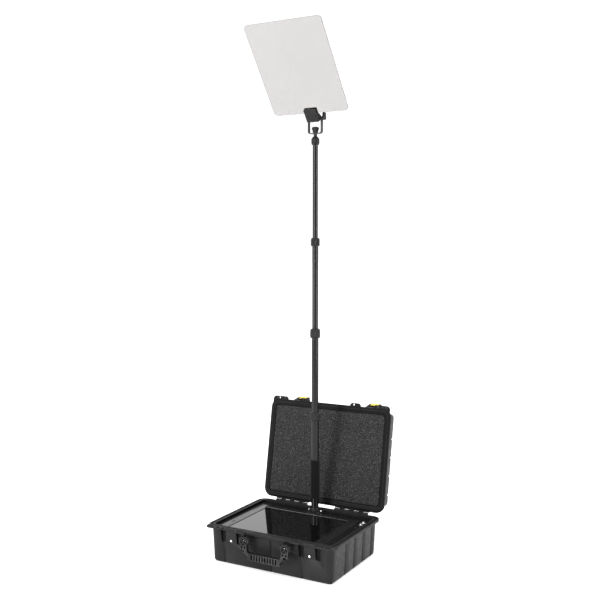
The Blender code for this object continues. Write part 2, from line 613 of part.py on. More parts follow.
def monitor():
    """The monitor lying face up: bezel, front glass, panel, rear housing and its driver board."""
    bezel = frame_ring("monitor_bezel", (BEZEL_X, BEZEL_Y, 0.006), (DISPLAY_X, DISPLAY_Y, 0.0015),
                       (DECK_TOP + GAP, BEZEL_TOP), "bezel_plastic")
    button_x = (BEZEL_X[0] + DISPLAY_X[0]) / 2
    half_x, half_y = BUTTON_HALF
    room = 0.0005
    hole = slab("button_hole_tool", (button_x - half_x - room, button_x + half_x + room),
                (BUTTON_Y - half_y - room, BUTTON_Y + half_y + room), (DECK_TOP - 0.002, BEZEL_TOP + 0.002),
                "steel")
    combine(bezel, [hole], "DIFFERENCE")
    hang(bezel, None, (0, 0, 0))
    button = slab("monitor_button", (button_x - half_x, button_x + half_x),
                  (BUTTON_Y - half_y, BUTTON_Y + half_y), (DECK_TOP + 0.0014, BEZEL_TOP + 0.0006),
                  "bezel_plastic")
    hang(button, None, (button_x, BUTTON_Y, BEZEL_TOP))

    screen_x = (DISPLAY_X[0] + GAP, DISPLAY_X[1] - GAP)
    screen_y = (DISPLAY_Y[0] + GAP, DISPLAY_Y[1] - GAP)
    hang(slab("screen_glass", screen_x, screen_y, (SCREEN_TOP - 0.0022, SCREEN_TOP), "screen_gloss",
              0.0012, 3), None, (0, 0, 0))
    panel_top = DECK_TOP - DECK_THICKNESS - 0.0010
    housing_x = (DISPLAY_X[0] - 0.019, DISPLAY_X[1] + 0.019)
    housing_y = (DISPLAY_Y[0] + 0.0055, DISPLAY_Y[1] + 0.013)
    floor = panel_top - HOUSING_DEPTH
    skin = HOUSING_SKIN
    inner_x = (housing_x[0] + skin, housing_x[1] - skin)
    inner_y = (housing_y[0] + skin, housing_y[1] - skin)
    loops = [rounded_outline(housing_x, housing_y, 0.004, floor, 2),
             rounded_outline(housing_x, housing_y, 0.004, panel_top, 2),
             rounded_outline(inner_x, inner_y, 0.0025, panel_top, 2),
             rounded_outline(inner_x, inner_y, 0.0025, floor + skin, 2)]
    hang(loft("monitor_housing", loops, "housing_metal"), None, (0, 0, 0))
    hang(slab("lcd_panel", (inner_x[0] + 0.001, inner_x[1] - 0.001), (inner_y[0] + 0.001, inner_y[1] - 0.001),
              (panel_top - 0.012, panel_top), "panel_core"), None, (0, 0, 0))
    hang(slab("driver_board", (-0.090, 0.050), (-0.060, 0.030), (floor + 0.0105, floor + 0.0121),
              "board_green"), None, (0, 0, 0))


def electrics():
    """Power supply on the case's floor, and the switch and sockets beside the monitor."""
    hang(slab("power_supply", (-0.200, -0.060), (-0.130, -0.045), (WALL + GAP, 0.045), "housing_metal",
              0.003, 2), None, (0, 0, 0))
    for name, y, outer, bore in (("power_socket", POWER_SOCKET_Y, *POWER_SOCKET_RADII),
                                 ("video_socket", VIDEO_SOCKET_Y, *VIDEO_SOCKET_RADII)):
        flange = outer + 0.0018
        low = DECK_TOP - 0.022
        profile = [(outer, low), (outer, DECK_TOP + GAP), (flange, DECK_TOP + GAP),
                   (flange, DECK_TOP + 0.0014), (bore + 0.0016, DECK_TOP + 0.0014),
                   (bore + 0.0016, DECK_TOP + 0.0050), (bore, DECK_TOP + 0.0050), (bore, low + 0.004),
                   (0.0010, low + 0.004), (0.0010, low)]
        piece = turned(name, profile, "steel", (CONNECTOR_X, y, 0), "Z", 16, hollow=True)
        hang(piece, None, (CONNECTOR_X, y, DECK_TOP))
    pivot = (CONNECTOR_X, SWITCH_Y, DECK_TOP - 0.0035)
    half_x, half_y = SWITCH_HALF
    outline = [(SWITCH_Y - half_y, pivot[2] - 0.0050), (SWITCH_Y + half_y, pivot[2] - 0.0050),
               (SWITCH_Y + half_y + 0.0005, pivot[2] + 0.0040), (SWITCH_Y, pivot[2] + 0.0050),
               (SWITCH_Y - half_y, pivot[2] + 0.0066)]
    rocker = side_extrusion("power_switch", outline, (CONNECTOR_X - half_x, CONNECTOR_X + half_x),
                            "latch_plastic")
    hang(rocker, None, pivot)


# ---- the pole -------------------------------------------------------------------------------------
def pole_foot():
    """The flange on the deck, its two screws, and the post that takes its load to the floor."""
    base = DECK_TOP + GAP
    outline = rounded_outline((-FLANGE_HALF_WIDTH, FLANGE_HALF_WIDTH), (POLE_Y - 0.0152, POLE_Y + 0.0162),
                              0.006, 0)
    plate_top = base + FLANGE_THICKNESS
    plate = loft("pole_flange", [[(p.x, p.y, z) for p in outline] for z in (base, plate_top)], "pole_black")
    boss_profile = [(0.0176, plate_top - 0.002), (0.0176, FLANGE_TOP - 0.002), (0.0168, FLANGE_TOP)]
    boss = turned("boss_tool", boss_profile,
                  "pole_black", (0, POLE_Y, 0), "Z", 24)
    bore = turned("flange_bore_tool", [(TUBE_RADII[0] + GAP, TUBE_BOTTOMS[0] - GAP),
                                       (TUBE_RADII[0] + GAP, 0.16)], "pole_black", (0, POLE_Y, 0), "Z", 24)
    screws = []
    for side, word in ((-1, "left"), (1, "right")):
        place = (side * FLANGE_SCREW_X, POLE_Y, 0)
        shank = 0.0024
        hole = [(shank + GAP, base - 0.002), (shank + GAP, plate_top + 0.002)]
        screws.append(turned("screw_hole_tool", hole, "steel", place, "Z", 12))
        profile = [(shank, base + GAP), (shank, plate_top + GAP), (0.0042, plate_top + GAP),
                   (0.0042, plate_top + 0.0022), (0.0034, plate_top + 0.0032)]
        screw = turned("flange_screw_" + word, profile, "steel", place, "Z", 12)
        hang(screw, None, (place[0], place[1], plate_top))
    combine(plate, [boss], "UNION")
    combine(plate, [bore] + screws, "DIFFERENCE")
    hang(plate, None, (0, 0, 0))

    half = 0.0125
    hang(slab("pole_post", (-half, half), (POLE_Y - half, POLE_Y + half),
              (WALL + GAP, DECK_TOP - DECK_THICKNESS - GAP), "housing_metal", 0.002, 2), None, (0, 0, 0))


def telescope():
    """Four nested tubes, each held by a twist collar with a nylon collet."""
    axis = (0, POLE_Y, 0)
    parts = []
    for i, radius in enumerate(TUBE_RADII):
        inner = radius - TUBE_WALL
        tube = turned("pole_tube_%d" % (i + 1), tube_profile(radius, inner, TUBE_BOTTOMS[i], TUBE_TOPS[i]),
                      "pole_black", axis, "Z", 24, hollow=True)
        parts.append(hang(tube, None, (0, POLE_Y, TUBE_BOTTOMS[i])))
    grip = turned("foam_grip", [(TUBE_RADII[0] + GAP, GRIP_RANGE[0]), (GRIP_RADIUS - 0.002, GRIP_RANGE[0]),
                                (GRIP_RADIUS, GRIP_RANGE[0] + 0.002), (GRIP_RADIUS, GRIP_RANGE[1] - 0.002),
                                (GRIP_RADIUS - 0.002, GRIP_RANGE[1]), (TUBE_RADII[0] + GAP, GRIP_RANGE[1])],
                  "grip_foam", axis, "Z", 24, hollow=True)
    hang(grip, None, (0, POLE_Y, GRIP_RANGE[0]))
    for i, (low, high) in enumerate(COLLAR_RANGES):
        outer = COLLAR_RADII[i]
        own = TUBE_RADII[i] + GAP
        inserted = TUBE_RADII[i + 1] + GAP
        shoulder = TUBE_TOPS[i] + GAP
        mouth = TUBE_RADII[i] - 0.0002
        collar = turned("twist_collar_%d" % (i + 1),
                        [(own, low), (outer - 0.001, low), (outer, low + 0.001), (outer, high - 0.003),
                         (outer - 0.003, high), (inserted + 0.0006, high), (inserted + 0.0006, high - 0.0015),
                         (mouth, high - 0.0015), (mouth, shoulder), (own, shoulder)],
                        "collar_black", axis, "Z", 24, hollow=True)
        hang(collar, None, (0, POLE_Y, low))
        collet_low = TUBE_TOPS[i] + GAP
        collet_high = high - 0.0015 - GAP
        collet = turned("collet_%d" % (i + 1),
                        tube_profile(mouth - GAP, inserted, collet_low, collet_high), "nylon",
                        axis, "Z", 24, hollow=True)
        hang(collet, None, (0, POLE_Y, collet_low))


def pole_head():
    """The cap on the top tube with its stud, the knob that clamps the yoke, and the yoke."""
    low, high = HEAD_RANGE
    axis = (0, POLE_Y, 0)
    inner = TUBE_RADII[3] + GAP
    yoke_top = YOKE_BASE_Z + YOKE_THICKNESS
    stud = STUD_RADIUS
    stud_top = yoke_top + STUD_LENGTH
    head = turned("pole_head",
                  [(inner, low), (HEAD_RADIUS - 0.0015, low), (HEAD_RADIUS - 0.0006, low + 0.005),
                   (HEAD_RADIUS, low + 0.006), (HEAD_RADIUS, high - 0.010),
                   (HEAD_RADIUS - 0.0015, high - 0.006), (NECK_RADIUS + 0.003, high), (NECK_RADIUS, high + 0.001), (NECK_RADIUS, YOKE_BASE_Z - GAP),
                   (stud, YOKE_BASE_Z - GAP), (stud, stud_top), (0.0005, stud_top),
                   (0.0005, TUBE_TOPS[3] + GAP), (inner, TUBE_TOPS[3] + GAP)],
                  "collar_black", axis, "Z", 24, hollow=True)
    hang(head, None, (0, POLE_Y, low))

    knob_low = yoke_top + GAP
    crown = KNOB_TOP - knob_low
    knob = turned("pan_knob",
                  [(stud + GAP, knob_low), (0.0100, knob_low), (0.0122, knob_low + crown * 0.45),
                   (0.0148, knob_low + crown * 0.70), (0.0148, knob_low + crown * 0.80),
                   (0.0110, knob_low + crown * 0.92), (0.0020, KNOB_TOP), (0.0010, KNOB_TOP),
                   (0.0010, stud_top + 2 * GAP), (stud + GAP, stud_top + 2 * GAP)],
                  "collar_black", axis, "Z", 20, hollow=True)
    hang(knob, None, (0, POLE_Y, knob_low))


def yoke():
    """A flat strip bent to a U, whose arms carry the clamp."""
    half = YOKE_SPREAD / 2
    thick = YOKE_THICKNESS
    top = TILT_Z
    bend = YOKE_BEND
    outer = half + thick / 2
    inner = half - thick / 2
    width = YOKE_STRIP_WIDTH / 2
    outside = ([(-outer, top)] + arc((-outer + bend, YOKE_BASE_Z + bend), bend, 180, 270, 5)
               + arc((outer - bend, YOKE_BASE_Z + bend), bend, 270, 360, 5) + [(outer, top)])
    inside = ([(inner, top)] + arc((outer - bend, YOKE_BASE_Z + bend), bend - thick, 360, 270, 5)
              + arc((-outer + bend, YOKE_BASE_Z + bend), bend - thick, 270, 180, 5) + [(-inner, top)])
    strip = front_extrusion("yoke", outside + inside, (POLE_Y - width, POLE_Y + width), "clamp_black")
    tools = []
    for side in (-1, 1):
        tools.append(turned("arm_end_tool", [(width, -thick / 2), (width, thick / 2)], "clamp_black",
                            (side * half, POLE_Y, TILT_Z), "X", 24))
    stud_profile = [(STUD_RADIUS + GAP, YOKE_BASE_Z - 0.002), (STUD_RADIUS + GAP, YOKE_BASE_Z + 0.006)]
    stud_hole = turned("stud_hole_tool", stud_profile, "steel", (0, POLE_Y, 0), "Z", 16)
    bolt_hole = turned("bolt_hole_tool", [(BOLT_RADIUS + GAP, -0.040), (BOLT_RADIUS + GAP, 0.040)], "steel",
                       (0, POLE_Y, TILT_Z), "X", 12)
    combine(strip, tools, "UNION")
    combine(strip, [stud_hole, bolt_hole], "DIFFERENCE")
    hang(strip, None, (0, POLE_Y, YOKE_BASE_Z))


def tilt_fittings():
    """The pivot bolt across the yoke and the angled lever that locks it."""
    pivot = (0, POLE_Y, TILT_Z)
    outer = YOKE_SPREAD / 2 + YOKE_THICKNESS / 2
    head = -outer - GAP
    bolt = turned("pivot_bolt", [(0.0050, head - 0.0040), (0.0058, head - 0.0030), (0.0058, head),
                                 (BOLT_RADIUS, head), (BOLT_RADIUS, outer + 0.0080)], "steel", pivot, "X", 16)
    hang(bolt, None, pivot)

    near = outer + 2 * GAP
    reach = near + LEVER_REACH
    hub = 0.0065
    lever = front_extrusion("tilt_lever",
                            [(near, TILT_Z - hub), (reach - 0.0015, TILT_Z - hub),
                             (reach, TILT_Z - hub + 0.0015), (reach - 0.0010, TILT_Z + LEVER_RISE),
                             (reach - 0.0110, TILT_Z + LEVER_RISE),
                             (reach - 0.0120, TILT_Z + hub), (near, TILT_Z + hub)],
                            (POLE_Y - LEVER_WIDTH / 2, POLE_Y + LEVER_WIDTH / 2), "clamp_black")
    bore = turned("lever_bore_tool", [(BOLT_RADIUS + GAP, near - 0.002), (BOLT_RADIUS + GAP, outer + 0.0083)],
                  "steel", pivot, "X", 12)
    combine(lever, [bore], "DIFFERENCE")
    hang(lever, None, pivot)


def glass_and_clamp(pivot):
    """The beam-splitter glass and its two-jaw clamp, built level: the glass runs to the front."""
    axis_y = pivot.location.y
    axis_z = pivot.location.z
    glass_edge = axis_y - GLASS_FOOT
    middle = axis_z - GLASS_OFFSET
    half = GLASS_THICKNESS / 2
    hang(slab("glass_panel", (-GLASS_WIDTH / 2, GLASS_WIDTH / 2), (glass_edge - GLASS_LENGTH, glass_edge),
              (middle - half, middle + half), "prompter_glass", GLASS_CORNER, 5), pivot, pivot.location)

    wide = CLAMP_WIDTH / 2
    front = glass_edge - CLAMP_ABOVE
    back = glass_edge + CLAMP_BELOW
    for name, low, high in (("clamp_pad_back", middle + half + GAP, middle + half + GAP + PAD_THICKNESS),
                            ("clamp_pad_front", middle - half - GAP - PAD_THICKNESS, middle - half - GAP)):
        pad = slab(name, (-wide + 0.003, wide - 0.003), (front + 0.003, glass_edge - 0.002), (low, high),
                   "pad_rubber")
        hang(pad, pivot, pivot.location)

    seat = middle + half + 2 * GAP + PAD_THICKNESS
    plate_top = seat + JAW_THICKNESS
    heel_bottom = middle - half + 0.0004
    jaw_outline = [(front, seat), (glass_edge + 0.0010, seat), (glass_edge + 0.0010, heel_bottom),
                   (back, heel_bottom), (back, plate_top), (front + 0.002, plate_top),
                   (front, plate_top - 0.002)]
    back_jaw = side_extrusion("clamp_back_jaw", jaw_outline, (-wide, wide), "clamp_black")
    lug_half = YOKE_SPREAD / 2 - YOKE_THICKNESS / 2 - 2 * GAP
    lug_outline = ([(glass_edge + 0.006, plate_top - 0.002)]
                   + [(back - 0.0005, plate_top - 0.002)]
                   + arc((axis_y, axis_z), LUG_RADIUS, -60, 120, 8)
                   + [(glass_edge + 0.010, plate_top + 0.004)])
    lug = side_extrusion("lug_tool", lug_outline, (-lug_half, lug_half), "clamp_black")
    bore = turned("lug_bore_tool", [(BOLT_RADIUS + GAP, -0.040), (BOLT_RADIUS + GAP, 0.040)], "steel",
                  (0, axis_y, axis_z), "X", 12)
    screw_y = glass_edge + 0.0105
    holes = []
    jaw_top = middle - half - 2 * GAP - PAD_THICKNESS
    jaw_low = jaw_top - JAW_THICKNESS
    for side, word in ((-1, "left"), (1, "right")):
        place = (side * CLAMP_SCREW_X, screw_y, 0)
        shank = CLAMP_SCREW_RADIUS
        hole = [(shank + GAP, jaw_low - 0.002), (shank + GAP, plate_top + 0.001)]
        holes.append(turned("clamp_screw_hole_tool", hole, "steel", place, "Z", 12))
        profile = [(shank, plate_top - 0.001), (shank, jaw_low - GAP), (0.0042, jaw_low - GAP),
                   (0.0042, jaw_low - 0.0016), (0.0034, jaw_low - 0.0024)]
        screw = turned("clamp_screw_" + word, profile, "steel", place, "Z", 12)
        hang(screw, pivot, (place[0], place[1], jaw_low))
    combine(back_jaw, [lug], "UNION")
    combine(back_jaw, [bore] + holes, "DIFFERENCE")
    front_jaw = slab("clamp_front_jaw", (-wide, wide), (front, back), (jaw_low, jaw_top), "clamp_black",
                     0.003, 3)
    combine(front_jaw, holes, "DIFFERENCE")
    for tool in [lug, bore] + holes:
        tool.parent = pivot
        tool.location -= pivot.location
    hang(back_jaw, pivot, pivot.location)
    hang(front_jaw, pivot, pivot.location)


# ---- the whole object -----------------------------------------------------------------------------
for old in list(bpy.data.objects):
    bpy.data.objects.remove(old)

MATERIALS = all_materials()

lid_pivot = pivot_empty("lid_hinge_axis", (0, HINGE_Y, HINGE_Z))
tilt_pivot = pivot_empty("glass_tilt_axis", (0, POLE_Y, TILT_Z))

base_shell()
rim_gasket()
latch_strikes()
hinge_pins()
lid(lid_pivot)
latches(lid_pivot)
handle()
deck()
monitor()
electrics()
pole_foot()
telescope()
pole_head()
yoke()
tilt_fittings()
glass_and_clamp(tilt_pivot)

lid_pivot.rotation_euler.x = -radians(LID_OPEN_ANGLE)
tilt_pivot.rotation_euler.x = -radians(GLASS_TILT)
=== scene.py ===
"""Looks of the case teleprompter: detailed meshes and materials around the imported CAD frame.

Metres, +Z up, in the CAD model's own frame. Lid pieces are built closed and turned open about the hinge;
glass and clamp pieces are built level and turned about the tilt axis.
"""
import json
from math import cos, pi, radians, sin

import bmesh
import bpy
from mathutils import Matrix, Vector, noise


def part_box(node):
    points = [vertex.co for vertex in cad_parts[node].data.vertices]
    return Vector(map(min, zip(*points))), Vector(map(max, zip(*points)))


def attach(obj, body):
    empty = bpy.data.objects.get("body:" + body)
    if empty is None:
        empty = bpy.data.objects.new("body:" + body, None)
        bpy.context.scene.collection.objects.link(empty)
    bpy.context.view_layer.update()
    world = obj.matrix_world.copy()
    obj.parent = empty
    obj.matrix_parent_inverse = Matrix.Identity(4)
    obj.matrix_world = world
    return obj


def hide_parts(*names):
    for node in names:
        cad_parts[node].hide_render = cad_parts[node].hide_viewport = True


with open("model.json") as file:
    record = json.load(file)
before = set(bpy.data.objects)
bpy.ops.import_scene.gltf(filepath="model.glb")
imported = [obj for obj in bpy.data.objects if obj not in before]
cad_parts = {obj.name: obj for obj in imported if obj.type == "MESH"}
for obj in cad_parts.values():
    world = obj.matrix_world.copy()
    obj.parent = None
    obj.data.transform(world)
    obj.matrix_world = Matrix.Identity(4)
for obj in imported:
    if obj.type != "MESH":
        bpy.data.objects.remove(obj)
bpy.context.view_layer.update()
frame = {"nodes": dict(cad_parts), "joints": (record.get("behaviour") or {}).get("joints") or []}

NODES = frame["nodes"]
JOINTS = {joint["name"]: joint for joint in frame["joints"]}

# ---- sizes that the frame gives -------------------------------------------------------------------
GAP = 0.0003
BOLT_BORE = 0.0033                               # radius, for the handle's pins and the tilt bolt
HANDLE_ARM = 0.03
LID_OPEN = radians(100.0)
GLASS_TILT = radians(52.3)
HINGE = Vector(JOINTS["lid_hinge"]["pos_m"])
TILT_AXIS = Vector(JOINTS["glass_tilt"]["pos_m"])
POLE_Y = TILT_AXIS.y

GASKET_LOW, GASKET_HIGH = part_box("rim_gasket")
GASKET_INSET = 0.0085
RIM_Z = GASKET_HIGH.z + 0.0002
HALF_X = GASKET_HIGH.x + GASKET_INSET + GAP
HALF_Y = GASKET_HIGH.y + GASKET_INSET + GAP
LID_Z = RIM_Z + 2 * GAP
LID_HEIGHT = 0.09
LIP_OVERHANG = 0.0135
LIP_HEIGHT = 0.011
DRAFT = 0.0064
RIM_WIDTH = 0.0235
CORNER = 0.036
BOTTOM_ROUND = 0.011
WALL_Y = HALF_Y - LIP_OVERHANG
LATCH_X = JOINTS["latch_right_hinge"]["pos_m"][0]
PADLOCK_X = (-0.238, 0.11)
FLANGES = ((0.093, 0.14), (0.197, 0.269))      # on both sides of the middle
FLANGE_REACH = 0.012
FLANGE_ROUND = 0.015
LATCH_REST = radians(17.0)
RECESS_OFFSET = 0.034
LATCH_BARREL = 0.005
LATCH_PIVOT = Vector((0, -WALL_Y - 0.0072, LID_Z + 0.04))

# ---- small tools ----------------------------------------------------------------------------------
LID_TURN = (Matrix.Translation(HINGE) @ Matrix.Rotation(-LID_OPEN, 4, "X")
            @ Matrix.Translation(-HINGE))
GLASS_TURN = (Matrix.Translation(TILT_AXIS) @ Matrix.Rotation(-GLASS_TILT, 4, "X")
              @ Matrix.Translation(-TILT_AXIS))


def as_object(name, work, smooth_angle=35):
    """A named mesh object from a bmesh, smooth except where faces meet at more than the angle."""
    bmesh.ops.recalc_face_normals(work, faces=work.faces[:])
    mesh = bpy.data.meshes.new(name)
    work.to_mesh(mesh)
    work.free()
    mesh.shade_smooth()
    mesh.set_sharp_from_angle(angle=radians(smooth_angle))
    piece = bpy.data.objects.new(name, mesh)
    bpy.context.scene.collection.objects.link(piece)
    return piece


def settle(piece, smooth_angle=35):
    """Applies a piece's modifiers to its mesh, and keeps its normals if there is no angle."""
    bpy.context.view_layer.update()
    evaluated = piece.evaluated_get(bpy.context.evaluated_depsgraph_get())
    mesh = bpy.data.meshes.new_from_object(evaluated)
    mesh.name = piece.name
    piece.modifiers.clear()
    piece.data = mesh
    if smooth_angle is not None:
        mesh.shade_smooth()
        mesh.set_sharp_from_angle(angle=radians(smooth_angle))
    return piece


def boolean(piece, tools, operation="DIFFERENCE"):
    """Cuts or joins other solids, then removes them."""
    for tool in tools:
        step = piece.modifiers.new(operation, "BOOLEAN")
        step.operation = operation
        step.solver = "EXACT"
        step.use_self = True
        step.object = tool
    settle(piece)
    for tool in tools:
        bpy.data.objects.remove(tool)
    return piece


def soften(piece, width, segments=2, angle=35):
    """Rounds a piece's sharp edges."""
    step = piece.modifiers.new("soften", "BEVEL")
    step.width = width
    step.segments = segments
    step.limit_method = "ANGLE"
    step.angle_limit = radians(angle)
    step.use_clamp_overlap = True
    step.harden_normals = True
    return settle(piece, None)


def loft(name, loops, closed=False, smooth_angle=35):
    """Joins outlines of equal point counts, and caps the ends unless it is closed."""
    work = bmesh.new()
    rings = [[work.verts.new(point) for point in loop] for loop in loops]
    pairs = list(zip(rings, rings[1:]))
    if closed:
        pairs.append((rings[-1], rings[0]))
    for lower, upper in pairs:
        for i, corner in enumerate(lower):
            j = (i + 1) % len(lower)
            work.faces.new((corner, lower[j], upper[j], upper[i]))
    if not closed:
        work.faces.new(rings[0])
        work.faces.new(rings[-1])
    return as_object(name, work, smooth_angle)


def rounded_outline(x_range, y_range, radius, z, steps=8):
    """A rectangle with round corners at height z."""
    centres = ((x_range[1], y_range[1], -1, -1), (x_range[0], y_range[1], 1, -1),
               (x_range[0], y_range[0], 1, 1), (x_range[1], y_range[0], -1, 1))
    points = []
    for corner, (x, y, inward_x, inward_y) in enumerate(centres):
        for step in range(steps + 1):
            angle = (corner + step / steps) * pi / 2
            points.append(Vector((x + inward_x * radius + radius * cos(angle),
                                  y + inward_y * radius + radius * sin(angle), z)))
    return points


def slab(name, x_range, y_range, z_range, radius=0.0, steps=5):
    """A flat block, with round corners in plan if it has a radius."""
    if radius:
        return loft(name, [rounded_outline(x_range, y_range, radius, z, steps) for z in z_range])
    corners = ((0, 0), (1, 0), (1, 1), (0, 1))
    return loft(name, [[(x_range[i], y_range[j], z) for i, j in corners] for z in z_range])


def node_slab(name, node, radius):
    """A block with round corners that fills a CAD node's box."""
    low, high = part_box(node)
    return slab(name, (low.x, high.x), (low.y, high.y), (low.z, high.z), radius)


def turned(name, profile, centre=(0, 0, 0), axis="Z", segments=64, hollow=False, flutes=None,
           smooth_angle=35):
    """A turned piece from (radius, height) points.

    flutes is (first row, last row, count, depth): those rows of the profile are scalloped all round.
    """
    turn = {"Z": Matrix.Identity(4), "X": Matrix.Rotation(pi / 2, 4, "Y"),
            "Y": Matrix.Rotation(-pi / 2, 4, "X")}[axis]
    place = Matrix.Translation(centre) @ turn
    loops = []
    for row, (radius, height) in enumerate(profile):
        loop = []
        for angle in (2 * pi * i / segments for i in range(segments)):
            reach = radius
            if flutes and flutes[0] <= row <= flutes[1]:
                reach -= flutes[3] * (0.5 - 0.5 * cos(flutes[2] * angle))
            loop.append(place @ Vector((reach * cos(angle), reach * sin(angle), height)))
        loops.append(loop)
    return loft(name, loops, hollow, smooth_angle)


def drill(radius, low, high, centre, axis="Z", segments=24):
    """A round cutter from low to high along the axis."""
    return turned("drill_tool", [(radius, low), (radius, high)], centre, axis, segments)


def rod(name, radius, half, chamfer, centre, segments):
    """A pin along X with chamfered ends."""
    end = radius - 0.0008
    profile = [(end, -half), (radius, -half + chamfer), (radius, half - chamfer), (end, half)]
    return turned(name, profile, centre, "X", segments)


def rows_at(radius, height, steps):
    """(radius, height) points from steps away from one such point."""
    return [(radius + out, height + up) for out, up in steps]


def extruded(name, outline, depth_range, axis):
    """Extrudes a closed outline: (y, z) along X, (x, z) along Y, or (x, y) along Z."""
    place = {"X": lambda a, b, d: (d, a, b), "Y": lambda a, b, d: (a, d, b),
             "Z": lambda a, b, d: (a, b, d)}[axis]
    return loft(name, [[place(a, b, depth) for a, b in outline] for depth in depth_range])


def arc(centre, radius, start, end, steps):
    """Points on an arc, angles in degrees."""
    angles = [radians(start + (end - start) * i / steps) for i in range(steps + 1)]
    return [(centre[0] + radius * cos(a), centre[1] + radius * sin(a)) for a in angles]


def merged(name, pieces):
    """Joins separate solids into one object."""
    work = bmesh.new()
    for piece in pieces:
        piece.data.transform(piece.matrix_world)
        work.from_mesh(piece.data)
        bpy.data.objects.remove(piece)
    return as_object(name, work)


def dress(piece, look, body, node, turn=None):
    """Gives a piece its material and its body, and hides the CAD node that it stands for."""
    if turn is not None:
        piece.data.transform(turn)
    piece.data.materials.clear()
    piece.data.materials.append(LOOKS[look])
    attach(piece, body)
    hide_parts(node)


# ---- materials ------------------------------------------------------------------------------------
def put(node, **values):
    """Sets a node's inputs; an underscore in a name stands for a space."""
    for name, value in values.items():
        node.inputs[name.replace("_", " ")].default_value = value


class Look:
    """Builds one node material step by step."""

    def __init__(self, name, colour, roughness, metallic=0.0):
        self.material = bpy.data.materials.new(name)
        self.material.use_nodes = True
        self.tree = self.material.node_tree
        self.shader = self.tree.nodes["Principled BSDF"]
        self.colour = colour
        self.roughness = roughness
        put(self.shader, Base_Color=(*colour, 1), Roughness=roughness, Metallic=metallic)
        self.place = self.tree.nodes.new("ShaderNodeTexCoord").outputs["Object"]
        self.height = None
        self.tint = None

    def node(self, kind, **settings):
        new = self.tree.nodes.new(kind)
        for key, value in settings.items():
            setattr(new, key, value)
        return new

    def link(self, source, target):
        self.tree.links.new(source, target)

    def noise(self, scale, detail=2.0, stretch=None):
        """A noise over the object, optionally stretched along the axes."""
        pattern = self.node("ShaderNodeTexNoise")
        put(pattern, Scale=scale, Detail=detail)
        source = self.place
        if stretch:
            mapping = self.node("ShaderNodeMapping")
            put(mapping, Scale=stretch)
            self.link(source, mapping.inputs["Vector"])
            source = mapping.outputs["Vector"]
        self.link(source, pattern.inputs["Vector"])
        return pattern.outputs["Fac"]

    def cells(self, scale):
        """The distance to the nearest of a cloud of points."""
        pattern = self.node("ShaderNodeTexVoronoi")
        put(pattern, Scale=scale)
        self.link(self.place, pattern.inputs["Vector"])
        return pattern.outputs["Distance"]

    def remap(self, value, low, high, out_low, out_high):
        new = self.node("ShaderNodeMapRange")
        put(new, From_Min=low, From_Max=high, To_Min=out_low, To_Max=out_high)
        self.link(value, new.inputs["Value"])
        return new.outputs["Result"]

    def blend_colour(self, factor, colour):
        """Lays another colour over the present one by a factor from 0 to 1."""
        mix = self.node("ShaderNodeMix", data_type="RGBA")
        if self.tint is None:
            mix.inputs[6].default_value = (*self.colour, 1.0)
        else:
            self.link(self.tint, mix.inputs[6])
        mix.inputs[7].default_value = (*colour, 1.0)
        self.link(factor, mix.inputs[0])
        self.tint = mix.outputs[2]
        self.link(self.tint, self.shader.inputs["Base Color"])
        return self

    def mottle(self, scale, amount, detail=3.0, stretch=None):
        """Varies the colour lighter and darker by a fraction of itself."""
        pattern = self.noise(scale, detail, stretch=stretch)
        light = tuple(min(1.0, c * (1 + amount)) for c in self.colour)
        dark = tuple(c * (1 - amount) for c in self.colour)
        self.blend_colour(self.remap(pattern, 0.35, 0.65, 0, 1), light)
        self.blend_colour(self.remap(pattern, 0.65, 0.35, 0, 1), dark)
        return self

    def worn_edges(self, colour, amount=0.5):
        """Lightens the convex edges, as handling does."""
        edge = self.node("ShaderNodeNewGeometry").outputs["Pointiness"]
        rub = self.noise(90.0, 3.0)
        mask = self.node("ShaderNodeMath", operation="MULTIPLY")
        self.link(self.remap(edge, 0.53, 0.62, 0, amount), mask.inputs[0])
        self.link(self.remap(rub, 0.35, 0.6, 0.2, 1), mask.inputs[1])
        self.blend_colour(mask.outputs[0], colour)
        return self

    def uneven_gloss(self, scale, amount, stretch=None):
        """Varies the roughness by an amount each way."""
        pattern = self.noise(scale, 3.0, stretch=stretch)
        low = max(0.0, self.roughness - amount)
        self.link(self.remap(pattern, 0.3, 0.7, low, self.roughness + amount),
                  self.shader.inputs["Roughness"])
        return self

    def bump(self, pattern, depth, strength=1.0):
        """Adds a fine relief, depth in metres."""
        new = self.node("ShaderNodeBump")
        put(new, Strength=strength, Distance=depth)
        self.link(pattern, new.inputs["Height"])
        if self.height is not None:
            self.link(self.height, new.inputs["Normal"])
        self.height = new.outputs["Normal"]
        self.link(self.height, self.shader.inputs["Normal"])
        return self


SHINE = {"case": 0.14, "rim": 0.09, "inner": 0.07, "rubber": 0.08, "foam": 0.05, "moulded": 0.17,
         "deck": 0.1, "bezel": 0.45, "pole": 0.27, "grip": 0.05, "collar": 0.22, "clamp": 0.18}
DOWN_THE_POLE = (1, 1, 0.04)
ACROSS_THE_SHEET = (1, 14, 1)

